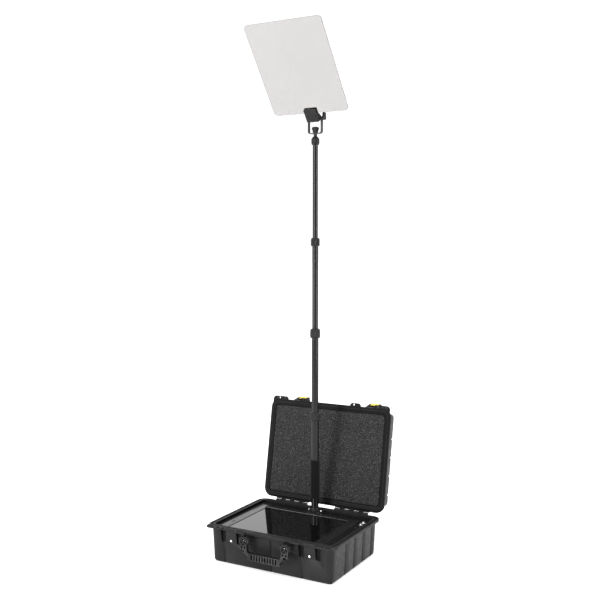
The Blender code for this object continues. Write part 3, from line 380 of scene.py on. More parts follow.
# Each row: key, material name, colour, roughness, mottle (scale, amount), worn edge (colour, amount) or None,
# uneven gloss (scale, amount), relief (scale, depth, strength) or None
PLAIN_FINISHES = (
    ("case", "case_plastic", (0.0125, 0.0121, 0.0126), 0.46, (14.0, 0.16), ((0.034, 0.033, 0.034), 0.4),
     (55.0, 0.07), (1500.0, 0.00022, 0.55)),
    # painted shade: a darker copy of the case plastic, for the lid's rim faces
    ("rim", "case_rim_painted_shade", (0.0052, 0.005, 0.0053), 0.5, (14.0, 0.16), ((0.026, 0.025, 0.026), 0.3),
     (55.0, 0.06), (1500.0, 0.00022, 0.55)),
    # painted shade: a darker copy of the case plastic, for the inside of the base and the latch recesses
    ("inner", "case_inside_painted_shade", (0.003, 0.003, 0.0032), 0.5, (20.0, 0.15), None,
     (60.0, 0.06), (1300.0, 0.0002, 0.4)),
    ("rubber", "gasket_rubber", (0.005, 0.005, 0.005), 0.75, (60.0, 0.2), None,
     (120.0, 0.08), (900.0, 0.0002, 0.4)),
    ("moulded", "latch_plastic", (0.008, 0.008, 0.0082), 0.42, (40.0, 0.18), ((0.07, 0.07, 0.071), 0.5),
     (90.0, 0.08), (1400.0, 0.00018, 0.4)),
    ("yellow", "button_yellow", (0.72, 0.53, 0.035), 0.38, (70.0, 0.1), ((0.86, 0.74, 0.3), 0.4),
     (110.0, 0.06), (1200.0, 0.00012, 0.3)),
    ("deck", "deck_powder_coat", (0.006, 0.006, 0.0062), 0.46, (30.0, 0.15), None,
     (80.0, 0.06), (1100.0, 0.0002, 0.6)),
    ("bezel", "bezel_plastic", (0.008, 0.0081, 0.0085), 0.2, (12.0, 0.08), ((0.07, 0.07, 0.07), 0.3),
     (45.0, 0.04), (1700.0, 0.0001, 0.35)),
    ("screen", "screen_gloss", (0.002, 0.002, 0.0025), 0.03, (3.0, 0.1), None, (4.0, 0.012), None),
    ("board", "board_green", (0.015, 0.085, 0.035), 0.42, (220.0, 0.35), None,
     (160.0, 0.1), (500.0, 0.0002, 0.5)),
    ("collar", "collar_plastic", (0.006, 0.006, 0.0063), 0.44, (60.0, 0.2), ((0.06, 0.06, 0.06), 0.5),
     (120.0, 0.08), (1500.0, 0.00015, 0.4)),
    ("nylon", "natural_nylon", (0.56, 0.55, 0.51), 0.42, (120.0, 0.12), None,
     (160.0, 0.08), (900.0, 0.0001, 0.4)),
    ("clamp", "clamp_powder_coat", (0.011, 0.0104, 0.0112), 0.5, (50.0, 0.2), ((0.08, 0.078, 0.08), 0.5),
     (120.0, 0.07), (1300.0, 0.00018, 0.6)),
)


def make_looks():
    """Every finish on the object, by name."""
    finishes = {}
    for key, name, colour, roughness, mottle, edge, gloss, relief in PLAIN_FINISHES:
        look = Look(name, colour, roughness)
        look.mottle(*mottle)
        if edge:
            look.worn_edges(*edge)
        look.uneven_gloss(*gloss)
        if relief:
            look.bump(look.noise(relief[0]), *relief[1:])
        finishes[key] = look
    case = finishes["case"]
    case.bump(case.noise(9.0), 0.0012, 0.25)
    put(finishes["screen"].shader, Coat_Weight=0.5, Coat_Roughness=0.02)

    foam = Look("case_foam", (0.028, 0.0273, 0.0284), 0.95)
    foam.mottle(190.0, 0.45, 4.0)
    # painted shade: the foam's pits, where the cell relief dips, are darkened
    foam.blend_colour(foam.remap(foam.cells(430.0), 0.46, 0.12, 0, 0.9), (0.005, 0.005, 0.0053))
    # painted highlights: light speckles on the foam's face
    foam.blend_colour(foam.remap(foam.noise(330.0, 3.0), 0.58, 0.7, 0, 0.75), (0.135, 0.132, 0.136))
    foam.bump(foam.cells(430.0), 0.0012, 0.9).bump(foam.noise(220.0, 3.0), 0.0016, 0.7)

    steel = Look("bright_steel", (0.66, 0.66, 0.65), 0.24, 1.0)
    steel.mottle(160.0, 0.1).uneven_gloss(300.0, 0.08).bump(steel.noise(2200.0), 0.00005, 0.3)

    metal = Look("sheet_metal", (0.3, 0.3, 0.31), 0.4, 0.9)
    metal.mottle(25.0, 0.12).uneven_gloss(60.0, 0.08, (1, 12, 1))
    metal.bump(metal.noise(600.0, stretch=ACROSS_THE_SHEET), 0.00006, 0.4)

    tube = Look("pole_anodised", (0.0025, 0.0025, 0.0028), 0.15)
    tube.mottle(18.0, 0.12, stretch=(1, 1, 0.15)).uneven_gloss(50.0, 0.05, (1, 1, 0.08))
    tube.bump(tube.noise(1500.0, stretch=DOWN_THE_POLE), 0.00004, 0.35)

    grip = Look("grip_foam", (0.0035, 0.0035, 0.0034), 0.92)
    grip.mottle(170.0, 0.35).bump(grip.noise(700.0, 3.0), 0.0004, 0.6)
    grip.bump(grip.cells(500.0), 0.0003, 0.4)
    put(grip.shader, Sheen_Weight=0.1)

    glass = Look("prompter_glass", (0.6, 0.584, 0.579), 0.0)
    glass.mottle(4.0, 0.02)
    put(glass.shader, Transmission_Weight=1.0, IOR=1.52)

    finishes.update(foam=foam, steel=steel, metal=metal, pole=tube, grip=grip, glass=glass)
    for name, level in SHINE.items():
        put(finishes[name].shader, Specular_IOR_Level=level)
    return {name: look.material for name, look in finishes.items()}


LOOKS = make_looks()


# ---- the case -------------------------------------------------------------------------------------
FRONT_GROOVES = (-0.2, 0.004, 0.134)          # upright joints between the wall's moulded panels
BACK_GROOVES = (-0.134, 0.0, 0.134)
SIDE_GROOVES = (-0.085, -0.012, 0.062, 0.137)
GROOVE_WIDTH = 0.0026
GROOVE_DEPTH = 0.0034
LIP_LOW_ROUND = 0.0012
LIP_TOP_ROUND = 0.0018
GASKET_WIDTH = 0.0055
SKIN = 0.007
FLOOR_THICKNESS = 0.005
GROOVE_SHAPE = ((-1.0, 0.0), (-0.6, 1.0), (0.7, 1.0), (2.6, 0.0))   # (along, dip) of its four corners


def side_points(start, end, inward, places, depth, along):
    """Points on one straight wall from start to end, dipping inwards by depth at each groove."""
    direction = (end - start).normalized()
    points = []
    ordered = sorted(places, key=lambda place: (place - start[along]) * direction[along])
    for place in ordered:
        middle = start + direction * ((place - start[along]) * direction[along])
        for offset, dip in GROOVE_SHAPE:
            points.append(middle + direction * offset * GROOVE_WIDTH + inward * depth * dip)
    return points


def wall_loop(inset, z, depth):
    """The case's outline at an inset from the lip, with its grooves depth deep."""
    hx = HALF_X - inset
    hy = HALF_Y - inset
    steps = 8
    outline = rounded_outline((-hx, hx), (-hy, hy), max(CORNER - inset, 0.006), z, steps)
    corners = [outline[i:i + steps + 1] for i in range(0, len(outline), steps + 1)]
    sides = ((BACK_GROOVES, Vector((0, -1, 0)), 0), (SIDE_GROOVES, Vector((1, 0, 0)), 1),
             (FRONT_GROOVES, Vector((0, 1, 0)), 0), (SIDE_GROOVES, Vector((-1, 0, 0)), 1))
    points = []
    for corner, (places, inward, along) in enumerate(sides):
        points += corners[corner]
        start = corners[corner][-1]
        end = corners[(corner + 1) % 4][0]
        points += side_points(start, end, inward, places, depth, along)
    return points


def tub_loops(height, groove):
    """Loops of a half case open upwards: outer skin, lip, rim and inner wall."""
    rows = []
    foot = LIP_OVERHANG + DRAFT
    for turn in (0.0, 0.25, 0.5, 0.75, 1.0):
        inset = BOTTOM_ROUND * (1 - sin(turn * pi / 2))
        rise = BOTTOM_ROUND * (1 - cos(turn * pi / 2))
        rows.append((foot + inset, rise, GROOVE_DEPTH * min(1.0, turn * 2)))
    lip_low = height - LIP_HEIGHT
    run = lip_low - 0.003 - BOTTOM_ROUND
    for below_lip, depth in ((0.014, GROOVE_DEPTH), (0.011, 0.0)):
        part = (lip_low - below_lip - BOTTOM_ROUND) / run
        rows.append((LIP_OVERHANG + DRAFT * (1 - part), BOTTOM_ROUND + run * part, depth))
    under = LIP_OVERHANG + 0.0002
    rows += [(under, lip_low - 0.0035, 0), (under - 0.0016, lip_low - 0.0012, 0), (under - 0.004, lip_low, 0)]
    quarter = [(1 - sin(turn * pi / 2), 1 - cos(turn * pi / 2)) for turn in (0.0, 0.5, 1.0)]
    rows += [(LIP_LOW_ROUND * inwards, lip_low + LIP_LOW_ROUND * up, 0) for inwards, up in quarter]
    rows += [(LIP_TOP_ROUND * up, height - LIP_TOP_ROUND * inwards, 0) for inwards, up in quarter]
    if groove:
        near = GASKET_INSET
        far = GASKET_INSET + GASKET_WIDTH
        rim = ((near - 0.0006, 0.0), (near, -0.0006), (near, -0.0034), (far, -0.0034), (far, -0.0006),
               (far + 0.0006, 0.0))
    else:
        rim = ((0.0085, 0.0), (0.009, 0.0009), (0.013, 0.0009), (0.0135, 0.0))
    rim += ((RIM_WIDTH - 0.0012, 0.0), (RIM_WIDTH - 0.0003, -0.0004), (RIM_WIDTH, -0.0013),
            (RIM_WIDTH + 0.0004, -0.02))
    rows += [(inset, height + up, 0) for inset, up in rim]
    rows.append((foot + SKIN, FLOOR_THICKNESS, 0))
    return [wall_loop(*row) for row in rows]


def knuckle(x_range, for_lid):
    """One hinge barrel with its web, as in the CAD hinge."""
    radius = 0.0055
    lip_y = HALF_Y - 0.0015
    sign = 1 if for_lid else -1
    start, end = (-205, 90) if for_lid else (155, -90)
    web_z = RIM_Z + sign * 2 * GAP
    outline = ([(lip_y, web_z), (HINGE.y - radius * 0.9, web_z)] + arc(HINGE.yz, radius, start, end, 18)
               + [(lip_y, HINGE.z + sign * radius)])
    return extruded("knuckle_tool", outline, x_range, "X")


def hinge_bore():
    """The bore through the hinge barrels."""
    return drill(0.0023, -0.212, 0.212, HINGE, "X", 20)


def hinge_strips():
    """Thickened stretches of the lid's back lip that close the gaps between the hinge barrels."""
    depth = (HALF_Y - 0.001, HALF_Y + 0.0034)
    return [slab("strip_tool", ends, depth, (LID_Z + 0.0004, LID_Z + 0.009), 0.001, 2)
            for ends in ((-0.212, -0.061), (0.061, 0.212))]


def knuckles(for_lid):
    """The barrels of one half of both hinges."""
    near_x, far_x, count = 0.063, 0.21, 7
    pitch = (far_x - near_x) / count
    pieces = []
    for side in (-1, 1):
        for i in range(1 if for_lid else 0, count, 2):
            start = near_x + i * pitch
            ends = sorted((side * (start + GAP), side * (start + pitch - GAP)))
            pieces.append(knuckle(ends, for_lid))
    return pieces


def lip_flanges(z_range, face_z):
    """The flanges of a front lip: sloped shoulders, padlock holes, and moulded hollows in their rim face."""
    tabs = []
    root_depth = 0.0046
    root = -HALF_Y + root_depth
    shoulder = -HALF_Y - 0.004
    edge = -HALF_Y - FLANGE_REACH
    depth = 0.0036 if face_z < sum(z_range) / 2 else -0.0036
    round_x = HALF_X - CORNER
    for side, (low, high) in ((side, span) for side in (-1, 1) for span in FLANGES):
        inner = [(low, root)]
        if high > round_x:
            inner += arc((round_x, -HALF_Y + CORNER), CORNER - root_depth, -90, -22, 6)
            inner += arc((high - FLANGE_ROUND, edge + FLANGE_ROUND), FLANGE_ROUND, 0, -90, 8)
        else:
            inner += [(high, root), (high, shoulder), (high - 0.006, edge + 0.0012), (high - 0.0078, edge)]
        outline = inner + [(low + 0.0078, edge), (low + 0.006, edge + 0.0012), (low, shoulder)]
        outline = [(side * x, y) for x, y in outline]
        low, high = sorted((side * low, side * high))
        tab = extruded("flange_tool", outline, z_range, "Z")
        soften(tab, 0.0009)
        cutters = [drill(0.0042, z_range[0] - 0.001, z_range[1] + 0.001, (x, -HALF_Y - 0.0054, 0))
                   for x in PADLOCK_X if low < x < high]
        hollows = 3
        margin = 0.009
        pitch = (high - low - 2 * margin) / hollows
        half = pitch * 0.4
        for x in (low + margin + pitch * (k + 0.5) for k in range(hollows)):
            if all(abs(x - hole) > 0.012 for hole in PADLOCK_X):
                cutters.append(slab("hollow_tool", (x - half, x + half), (edge + 0.0024, shoulder + 0.0026),
                                    sorted((face_z - depth / 4, face_z + depth))))
        tabs.append(boolean(tab, cutters))
    return tabs


def latch_recesses():
    """Tapered recesses at the latch seats, deeper at the top."""
    tools = []
    front = -WALL_Y - 0.004
    for side in (-1, 1):
        for offset in (-RECESS_OFFSET, RECESS_OFFSET):
            x = side * LATCH_X + offset
            loops = []
            for z, half, back in ((0.082, 0.0085, 0.0024), (0.087, 0.0092, 0.0074), (0.13, 0.0118, 0.0084)):
                deep = -WALL_Y + back
                loops.append([(x - half, front, z), (x + half, front, z), (x + half, deep, z),
                              (x - half, deep, z)])
            tools.append(loft("recess_tool", loops))
    return tools


def case_base():
    """The lower half of the case, from its underside to the rim."""
    shell = loft("case_base", tub_loops(RIM_Z, True), smooth_angle=28)
    face_z = RIM_Z - 2 * GAP
    boolean(shell, knuckles(False) + lip_flanges((RIM_Z - 0.007, face_z), face_z), "UNION")
    boolean(shell, latch_recesses() + [hinge_bore()])
    settle(shell, 28)
    dress(shell, "case", "base", "base_shell")
    # painted shade: the inner walls and floor of the base take the darker copy of the case plastic
    shell.data.materials.append(LOOKS["inner"])
    for face in shell.data.polygons:
        x, y, z = face.center
        inside = abs(x) < HALF_X - RIM_WIDTH + 0.001 and abs(y) < HALF_Y - RIM_WIDTH + 0.001
        if inside and BOTTOM_ROUND / 4 < z < RIM_Z - 0.0006:
            face.material_index = 1
        # painted shade in the latch recesses: their back and side faces take the darker copy too
        off_recess = abs(abs(abs(x) - LATCH_X) - RECESS_OFFSET)
        if off_recess < 0.0119 and y < 0 and 0.08 < z < 0.1295:
            if y + WALL_Y > 0.003 or (abs(face.normal.x) > 0.8 and y + WALL_Y > 0.0002):
                face.material_index = 1

    low = RIM_Z - 0.0032
    high = RIM_Z - 0.0002
    near = GASKET_INSET + GAP
    far = GASKET_INSET + GASKET_WIDTH - GAP
    rows = [(near, low), (near, high - 0.0016), (near + 0.0012, high - 0.0003), ((near + far) / 2, high),
            (far - 0.0012, high - 0.0003), (far, high - 0.0016), (far, low)]
    gasket = loft("gasket", [wall_loop(inset, z, 0) for inset, z in rows], closed=True)
    dress(gasket, "rubber", "base", "rim_gasket")

    for word in ("left", "right"):
        node = "latch_strike_" + word
        low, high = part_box(node)
        middle = (low + high) / 2
        profile = [(0.0046, 0.0), (0.0046, -0.0012), (0.0041, -0.0019), (0.003, -0.0024), (0.001, -0.0025)]
        strike = turned("strike_" + word, profile, (middle.x, high.y, middle.z), "Y", 40)
        dress(strike, "steel", "base", node)


def hinge_hardware():
    """Steel pins, shown at the ends of the barrels."""
    for node in ("hinge_pin_left", "hinge_pin_right"):
        low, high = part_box(node)
        half = (high.x - low.x) / 2
        pin = rod(node + "_rod", 0.002, half, 0.0006, ((low.x + high.x) / 2, HINGE.y, HINGE.z), 24)
        dress(pin, "steel", "base", node)


def case_lid():
    """The upper half of the case, built closed and turned open."""
    top = LID_Z + LID_HEIGHT
    loops = [[Vector((p.x, p.y, top - p.z)) for p in loop] for loop in tub_loops(LID_HEIGHT, False)]
    shell = loft("case_lid", loops, smooth_angle=28)
    ribs = []
    for x in (-0.15, -0.05, 0.05, 0.15):
        ribs.append(slab("rib_tool", (x - 0.018, x + 0.018), (-0.135, 0.135), (top - 0.001, top + 0.0018),
                         0.01, 4))
    ears = []
    root = -WALL_Y + 0.003
    for x in (side * LATCH_X + edge * 0.0285 for side in (-1, 1) for edge in (-1, 1)):
        outline = ([(root, LATCH_PIVOT.z - 0.009)] + arc(LATCH_PIVOT.yz, LATCH_BARREL, -90, -270, 12)
                   + [(root, LATCH_PIVOT.z + 0.009)])
        ears.append(extruded("ear_tool", outline, (x - 0.0028, x + 0.0028), "X"))
    flanges = lip_flanges((LID_Z + GAP, LID_Z + 0.006), LID_Z + GAP)
    boolean(shell, hinge_strips() + knuckles(True) + flanges + ears + ribs, "UNION")
    boolean(shell, [hinge_bore(), drill(0.0021, -0.205, 0.205, LATCH_PIVOT, "X", 20)])
    settle(shell, 28)
    dress(shell, "case", "lid", "lid_shell", LID_TURN)
    # painted shade: the lid's rim-plane faces take a darker copy of the case plastic
    shell.data.materials.append(LOOKS["rim"])
    close = LID_TURN.inverted()
    for face in shell.data.polygons:
        if (close @ face.center).z < LID_Z + 0.0024:
            face.material_index = 1


def foam_face(name, half_x, half_y, radius, face_z, back_z, columns, rows, relief):
    """A foam block whose face is a fine grid with an open-cell relief, facing down."""
    work = bmesh.new()
    grid = []
    for j in range(rows + 1):
        line = []
        for i in range(columns + 1):
            x = half_x * (2 * i / columns - 1)
            y = half_y * (2 * j / rows - 1)
            over_x = abs(x) - (half_x - radius)
            over_y = abs(y) - (half_y - radius)
            if over_x > 0 and over_y > 0:
                reach = (over_x ** 2 + over_y ** 2) ** 0.5
                limit = max(over_x, over_y)
                x = (half_x - radius + over_x * limit / reach) * (1 if x > 0 else -1)
                y = (half_y - radius + over_y * limit / reach) * (1 if y > 0 else -1)
            edge = min(half_x - abs(x), half_y - abs(y))
            roll = 0.0035 * max(0.0, 1 - edge / 0.006) ** 2
            place = Vector((x, y, 0))
            grain = noise.noise(place * 150) * 0.62 + noise.noise(place * 310) * 0.38
            swell = noise.noise(place * 12) * 0.0012
            line.append(work.verts.new((x, y, face_z + roll - grain * relief + swell)))
        grid.append(line)
    for j in range(rows):
        for i in range(columns):
            work.faces.new((grid[j][i], grid[j][i + 1], grid[j + 1][i + 1], grid[j + 1][i]))
    ring = (grid[0][:-1] + [line[-1] for line in grid[:-1]] + grid[-1][:0:-1]
            + [line[0] for line in grid[:0:-1]])
    back = [work.verts.new((v.co.x * 0.985, v.co.y * 0.98, back_z)) for v in ring]
    for i in range(len(ring)):
        j = (i + 1) % len(ring)
        work.faces.new((ring[i], ring[j], back[j], back[i]))
    work.faces.new(back)
    return as_object(name, work, 80)


def lid_foam():
    """The foam block that fills the lid."""
    inset = RIM_WIDTH + 0.0018
    block = foam_face("lid_foam_block", HALF_X - inset, HALF_Y - inset, CORNER - RIM_WIDTH + 0.004,
                      LID_Z - 0.0014, LID_Z + LID_HEIGHT - 0.007, 300, 220, 0.0011)
    dress(block, "foam", "lid", "lid_foam", LID_TURN)


def latches():
    """Two latches propped off the lid's front wall: a frame with two arms, a yellow button and a pin."""
    pivot_y, pivot_z = LATCH_PIVOT.yz
    near = pivot_y + 0.005
    far = pivot_y - 0.006
    tip = pivot_z + 0.056
    arm_low = pivot_z + 0.029
    well = 0.0165
    pivot = Matrix.Translation(LATCH_PIVOT)
    turn = LID_TURN @ pivot @ Matrix.Rotation(LATCH_REST, 4, "X") @ pivot.inverted()
    for side, word in ((-1, "left"), (1, "right")):
        x = side * LATCH_X
        outline = (arc(LATCH_PIVOT.yz, LATCH_BARREL, -180, 0, 12)
                   + [(near, tip - 0.005), (near - 0.0012, tip - 0.0016), (near - 0.004, tip),
                      (far + 0.0028, tip), (far + 0.0008, tip - 0.001), (far, tip - 0.0034),
                      (far, pivot_z + 0.006)])
        body = extruded("latch_body_" + word, outline, (x - 0.025, x + 0.025), "X")
        bore = drill(0.0021, -0.03, 0.03, (x, pivot_y, pivot_z), "X", 20)
        notch = slab("notch_tool", (x - well, x + well), (far - 0.002, near + 0.002), (arm_low, tip + 0.002))
        hollow = slab("well_tool", (x - well, x + well), (far - 0.002, far + 0.0072),
                      (pivot_z + 0.0085, arm_low - 0.0026))
        reliefs = [slab("relief_tool", (x + k * 0.0212 - 0.002, x + k * 0.0212 + 0.002),
                        (far - 0.002, far + 0.0016), (pivot_z + 0.012, tip - 0.006)) for k in (-1, 1)]
        boolean(body, [bore, notch, hollow] + reliefs)
        soften(body, 0.0008)
        dress(body, "moulded", "latch_" + word, "latch_" + word, turn)

        half = well - 2 * GAP
        button = slab("button_tool", (x - half, x + half), (far - 0.0004, near - 0.004),
                      (arm_low + 2 * GAP, tip - 0.0008))
        wide = half * 0.86
        ridges = [slab("ridge_tool", (x - wide, x + wide), (far - 0.006, far + 0.0006), (z, z + 0.0016))
                  for z in (arm_low + 0.0045 + k * 0.0042 for k in range(4))]
        boolean(button, ridges)
        soften(button, 0.0007)
        button.name = "release_button_" + word
        dress(button, "yellow", "latch_button_" + word, "latch_button_" + word, turn)

        pin = rod("latch_rod_" + word, 0.0018, 0.0312, 0.0006, (x, pivot_y, pivot_z), 24)
        dress(pin, "steel", "lid", "latch_pin_" + word, LID_TURN)


def handle_cutters(low, high, grip_top, span):
    """The handle's moulded hollows: ribs front and back, an X of ribs, holes and a slot at each end."""
    front = (low.y - 0.001, low.y + (high.y - low.y) * 0.5)
    back = (high.y - 0.0036, high.y + 0.001)
    shallow = (low.y - 0.001, low.y + 0.004)
    top = high.z
    count = 10
    pitch = span / count
    half = pitch * 0.27
    square = 0.0115
    tools = []
    for depth in (front, back):
        for x in (-span / 2 + (i + 0.5) * pitch for i in range(count)):
            tools.append(slab("rib_tool", (x - half, x + half), depth, (low.z + 0.0035, grip_top - 0.003)))
    for side in (-1, 1):
        centre = (side * (high.x - HANDLE_ARM / 2), top - 0.0165)
        for start in (45, 135, 225, 315):
            corner = arc(centre, square * 1.1956, start + 10, start + 80, 1)
            tip = arc(centre, square * 0.26, start + 45, start + 45, 1)[:1]
            tools.append(extruded("x_rib_tool", tip + corner, shallow, "Y"))
        middle = centre[0]
        shift = side * 0.00225
        holes = ((-0.0062, 0.0038, 0.0405, 0.033), (0.0062, 0.0038, 0.0405, 0.033),
                 (shift, 0.00675, 0.0535, 0.045))
        for x, reach, bottom, upper in holes:
            tools.append(slab("hole_tool", (middle + x - reach, middle + x + reach), front,
                              (top - bottom, top - upper)))
        slant = [(middle + side * x, top - z)
                 for x, z in ((0.002, 0.058), (-0.006, 0.058), (-0.0215, 0.0735), (-0.0135, 0.0735))]
        tools.append(extruded("slant_tool", slant, front, "Y"))
    return tools


def carry_handle():
    """The ribbed carry handle, its brackets and its pins."""
    low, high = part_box("handle")
    pivot = Vector(JOINTS["handle_swing"]["pos_m"])
    grip_top = low.z + 0.027
    chamfer = 0.038
    round_off = 0.006
    inner = high.x - HANDLE_ARM
    half = (arc((inner - 0.01, grip_top + 0.01), 0.01, 270, 360, 6)
            + [(inner, high.z - round_off), (inner + round_off, high.z), (high.x - round_off, high.z),
               (high.x, high.z - round_off), (high.x, low.z + chamfer), (high.x - chamfer, low.z)])
    outline = half + [(-x, z) for x, z in reversed(half)]
    body = extruded("carry_handle", outline, (low.y, high.y), "Y")
    tools = handle_cutters(low, high, grip_top, 2 * (high.x - chamfer) - 0.014)
    bore = drill(BOLT_BORE, -high.x - 0.01, high.x + 0.01, pivot, "X")
    boolean(body, [merged("handle_cutter", tools), bore])
    soften(body, 0.0009, 2, 30)
    dress(body, "moulded", "handle", "handle")

    for word in ("left", "right"):
        low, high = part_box("handle_bracket_" + word)
        middle = Vector(((low.x + high.x) / 2, pivot.y, pivot.z))
        reach = HANDLE_ARM / 2 + 2 * GAP
        ear = (high.x - low.x) / 2
        half_plan = [(ear, high.y), (ear, low.y), (reach, low.y), (reach, high.y - 0.005)]
        plan = [(-x, y) for x, y in half_plan] + half_plan[::-1]
        bracket = loft("bracket_" + word, [[(middle.x + x, y, z) for x, y in plan] for z in (low.z, high.z)])
        boolean(bracket, [drill(BOLT_BORE, -0.03, 0.03, middle, "X")])
        soften(bracket, 0.0008)
        dress(bracket, "moulded", "base", "handle_bracket_" + word)
        low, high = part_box("handle_pin_" + word)
        pin = rod("handle_rod_" + word, 0.003, (high.x - low.x) / 2, 0.0008, middle, 32)
        dress(pin, "steel", "base", "handle_pin_" + word)


# ---- what lies in the base ------------------------------------------------------------------------
def window_frame(name, outer, inner, rows, outer_radius, inner_radius):
    """A frame with a window. rows are (side, grow, height): side 'o' or 'i', grow widens that outline."""
    loops = []
    for side, grow, z in rows:
        (x_low, y_low), (x_high, y_high) = outer if side == "o" else inner
        radius = outer_radius if side == "o" else inner_radius
        loops.append(rounded_outline((x_low - grow, x_high + grow), (y_low - grow, y_high + grow),
                                     max(radius + grow, 0.0004), z, 6))
    return loft(name, loops, closed=True)


def base_interior():
    """The deck, the monitor, its button, and the switch and sockets beside it."""
    low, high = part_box("deck_plate")
    glass_low, glass_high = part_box("screen_glass")
    outer = ((low.x, low.y), (high.x, high.y))
    window = ((glass_low.x - 0.016, glass_low.y + 0.006), (glass_high.x + 0.016, glass_high.y + 0.01))
    rows = [("o", -0.0005, low.z), ("o", 0.0, low.z + 0.0005), ("o", 0.0, high.z - 0.0005),
            ("o", -0.0005, high.z), ("i", 0.0, high.z), ("i", 0.0, low.z)]
    deck = window_frame("deck", outer, window, rows, 0.01, 0.003)
    deck_z = high.z
    above = deck_z + 0.01
    switch_low, switch_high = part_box("power_switch")
    switch = (switch_low + switch_high) / 2
    sockets = []
    for node in ("power_socket", "video_socket"):
        low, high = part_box(node)
        sockets.append((node, ((low.x + high.x) / 2, (low.y + high.y) / 2, 0), (high.x - low.x) / 2, high.z))
    below = deck_z - 0.01
    tools = [drill(flange - 0.0015, below, above, middle, "Z", 40) for _, middle, flange, _ in sockets]
    tools.append(slab("switch_tool", (switch.x - 0.0065, switch.x + 0.0065),
                      (switch.y - 0.01, switch.y + 0.01), (below, above)))
    vents = [slab("vent_tool", (switch.x - 0.0115, switch.x + 0.0115), (y - 0.0016, y + 0.0016),
                  (deck_z - 0.0016, above)) for y in (-0.15 + k * 0.0115 for k in range(16))]
    boolean(deck, tools + [merged("vents_tool", vents)])
    soften(deck, 0.0004)
    dress(deck, "deck", "base", "deck_plate")

    low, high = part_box("monitor_bezel")
    outer = ((low.x, low.y), (high.x, high.y))
    inner = ((glass_low.x - GAP, glass_low.y - GAP), (glass_high.x + GAP, glass_high.y + GAP))
    rows = [("o", 0.0, low.z), ("o", 0.0, high.z - 0.0016), ("o", -0.0005, high.z - 0.0005),
            ("o", -0.0016, high.z), ("i", 0.0004, high.z), ("i", 0.0, high.z - 0.0004), ("i", 0.0, low.z)]
    bezel = window_frame("bezel", outer, inner, rows, 0.007, 0.0012)
    button_low, button_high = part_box("monitor_button")
    hole = slab("hole_tool", (button_low.x - 0.0005, button_high.x + 0.0005),
                (button_low.y - 0.0005, button_high.y + 0.0005), (low.z - 0.002, high.z + 0.002), 0.0012, 4)
    boolean(bezel, [hole])
    dress(bezel, "bezel", "base", "monitor_bezel")
    button = node_slab("bezel_button", "monitor_button", 0.001)
    soften(button, 0.0004)
    dress(button, "moulded", "monitor_button", "monitor_button")

    screen = node_slab("screen", "screen_glass", 0.0012)
    soften(screen, 0.0003)
    dress(screen, "screen", "base", "screen_glass")

    for node, middle, flange, top in sockets:
        bore = 0.003 if node == "power_socket" else 0.0035
        rows = (rows_at(flange, deck_z, ((-0.0018, -0.02), (-0.0018, GAP), (0, GAP), (0, 0.001),
                                         (-0.0004, 0.0014)))
                + rows_at(bore, deck_z, ((0.0024, 0.0014), (0.0016, 0.002)))
                + rows_at(bore, top, ((0.0016, -0.0004), (0.0012, 0), (0.0003, 0), (0, -0.0004)))
                + [(bore, deck_z - 0.017), (0.001, deck_z - 0.017), (0.001, deck_z - 0.02)])
        socket = turned(node + "_shell", rows, middle, "Z", 48, hollow=True)
        dress(socket, "steel", "base", node)

    z = JOINTS["power_switch_rock"]["pos_m"][2]
    profile = ((-0.0085, -0.005), (0.0085, -0.005), (0.0089, 0.0038), (0.006, 0.0038), (0.003, 0.004),
               (0, 0.0045), (-0.003, 0.0052), (-0.006, 0.006), (-0.0083, 0.0066))
    outline = [(switch.y + along, z + up) for along, up in profile]
    rocker = extruded("rocker", outline, (switch_low.x, switch_high.x), "X")
    soften(rocker, 0.0005)
    dress(rocker, "moulded", "power_switch", "power_switch")


def hidden_parts():
    """The CAD nodes below the deck keep their shape and get full materials."""
    finishes = {"metal": ("deck_rail_left", "deck_rail_right", "monitor_housing", "power_supply",
                          "pole_post"),
                "bezel": ("lcd_panel",), "board": ("driver_board",),
                "nylon": ("collet_1", "collet_2", "collet_3"),
                "rubber": ("clamp_pad_back", "clamp_pad_front")}
    for look, nodes in finishes.items():
        for node in nodes:
            NODES[node].data.materials.clear()
            NODES[node].data.materials.append(LOOKS[look])


# ---- the pole -------------------------------------------------------------------------------------
GRIP_BORE = 0.0153
GRIP_ROUND = 0.003
GRIP_WAVES = 9
GRIP_WAVE_DEPTH = 0.00025


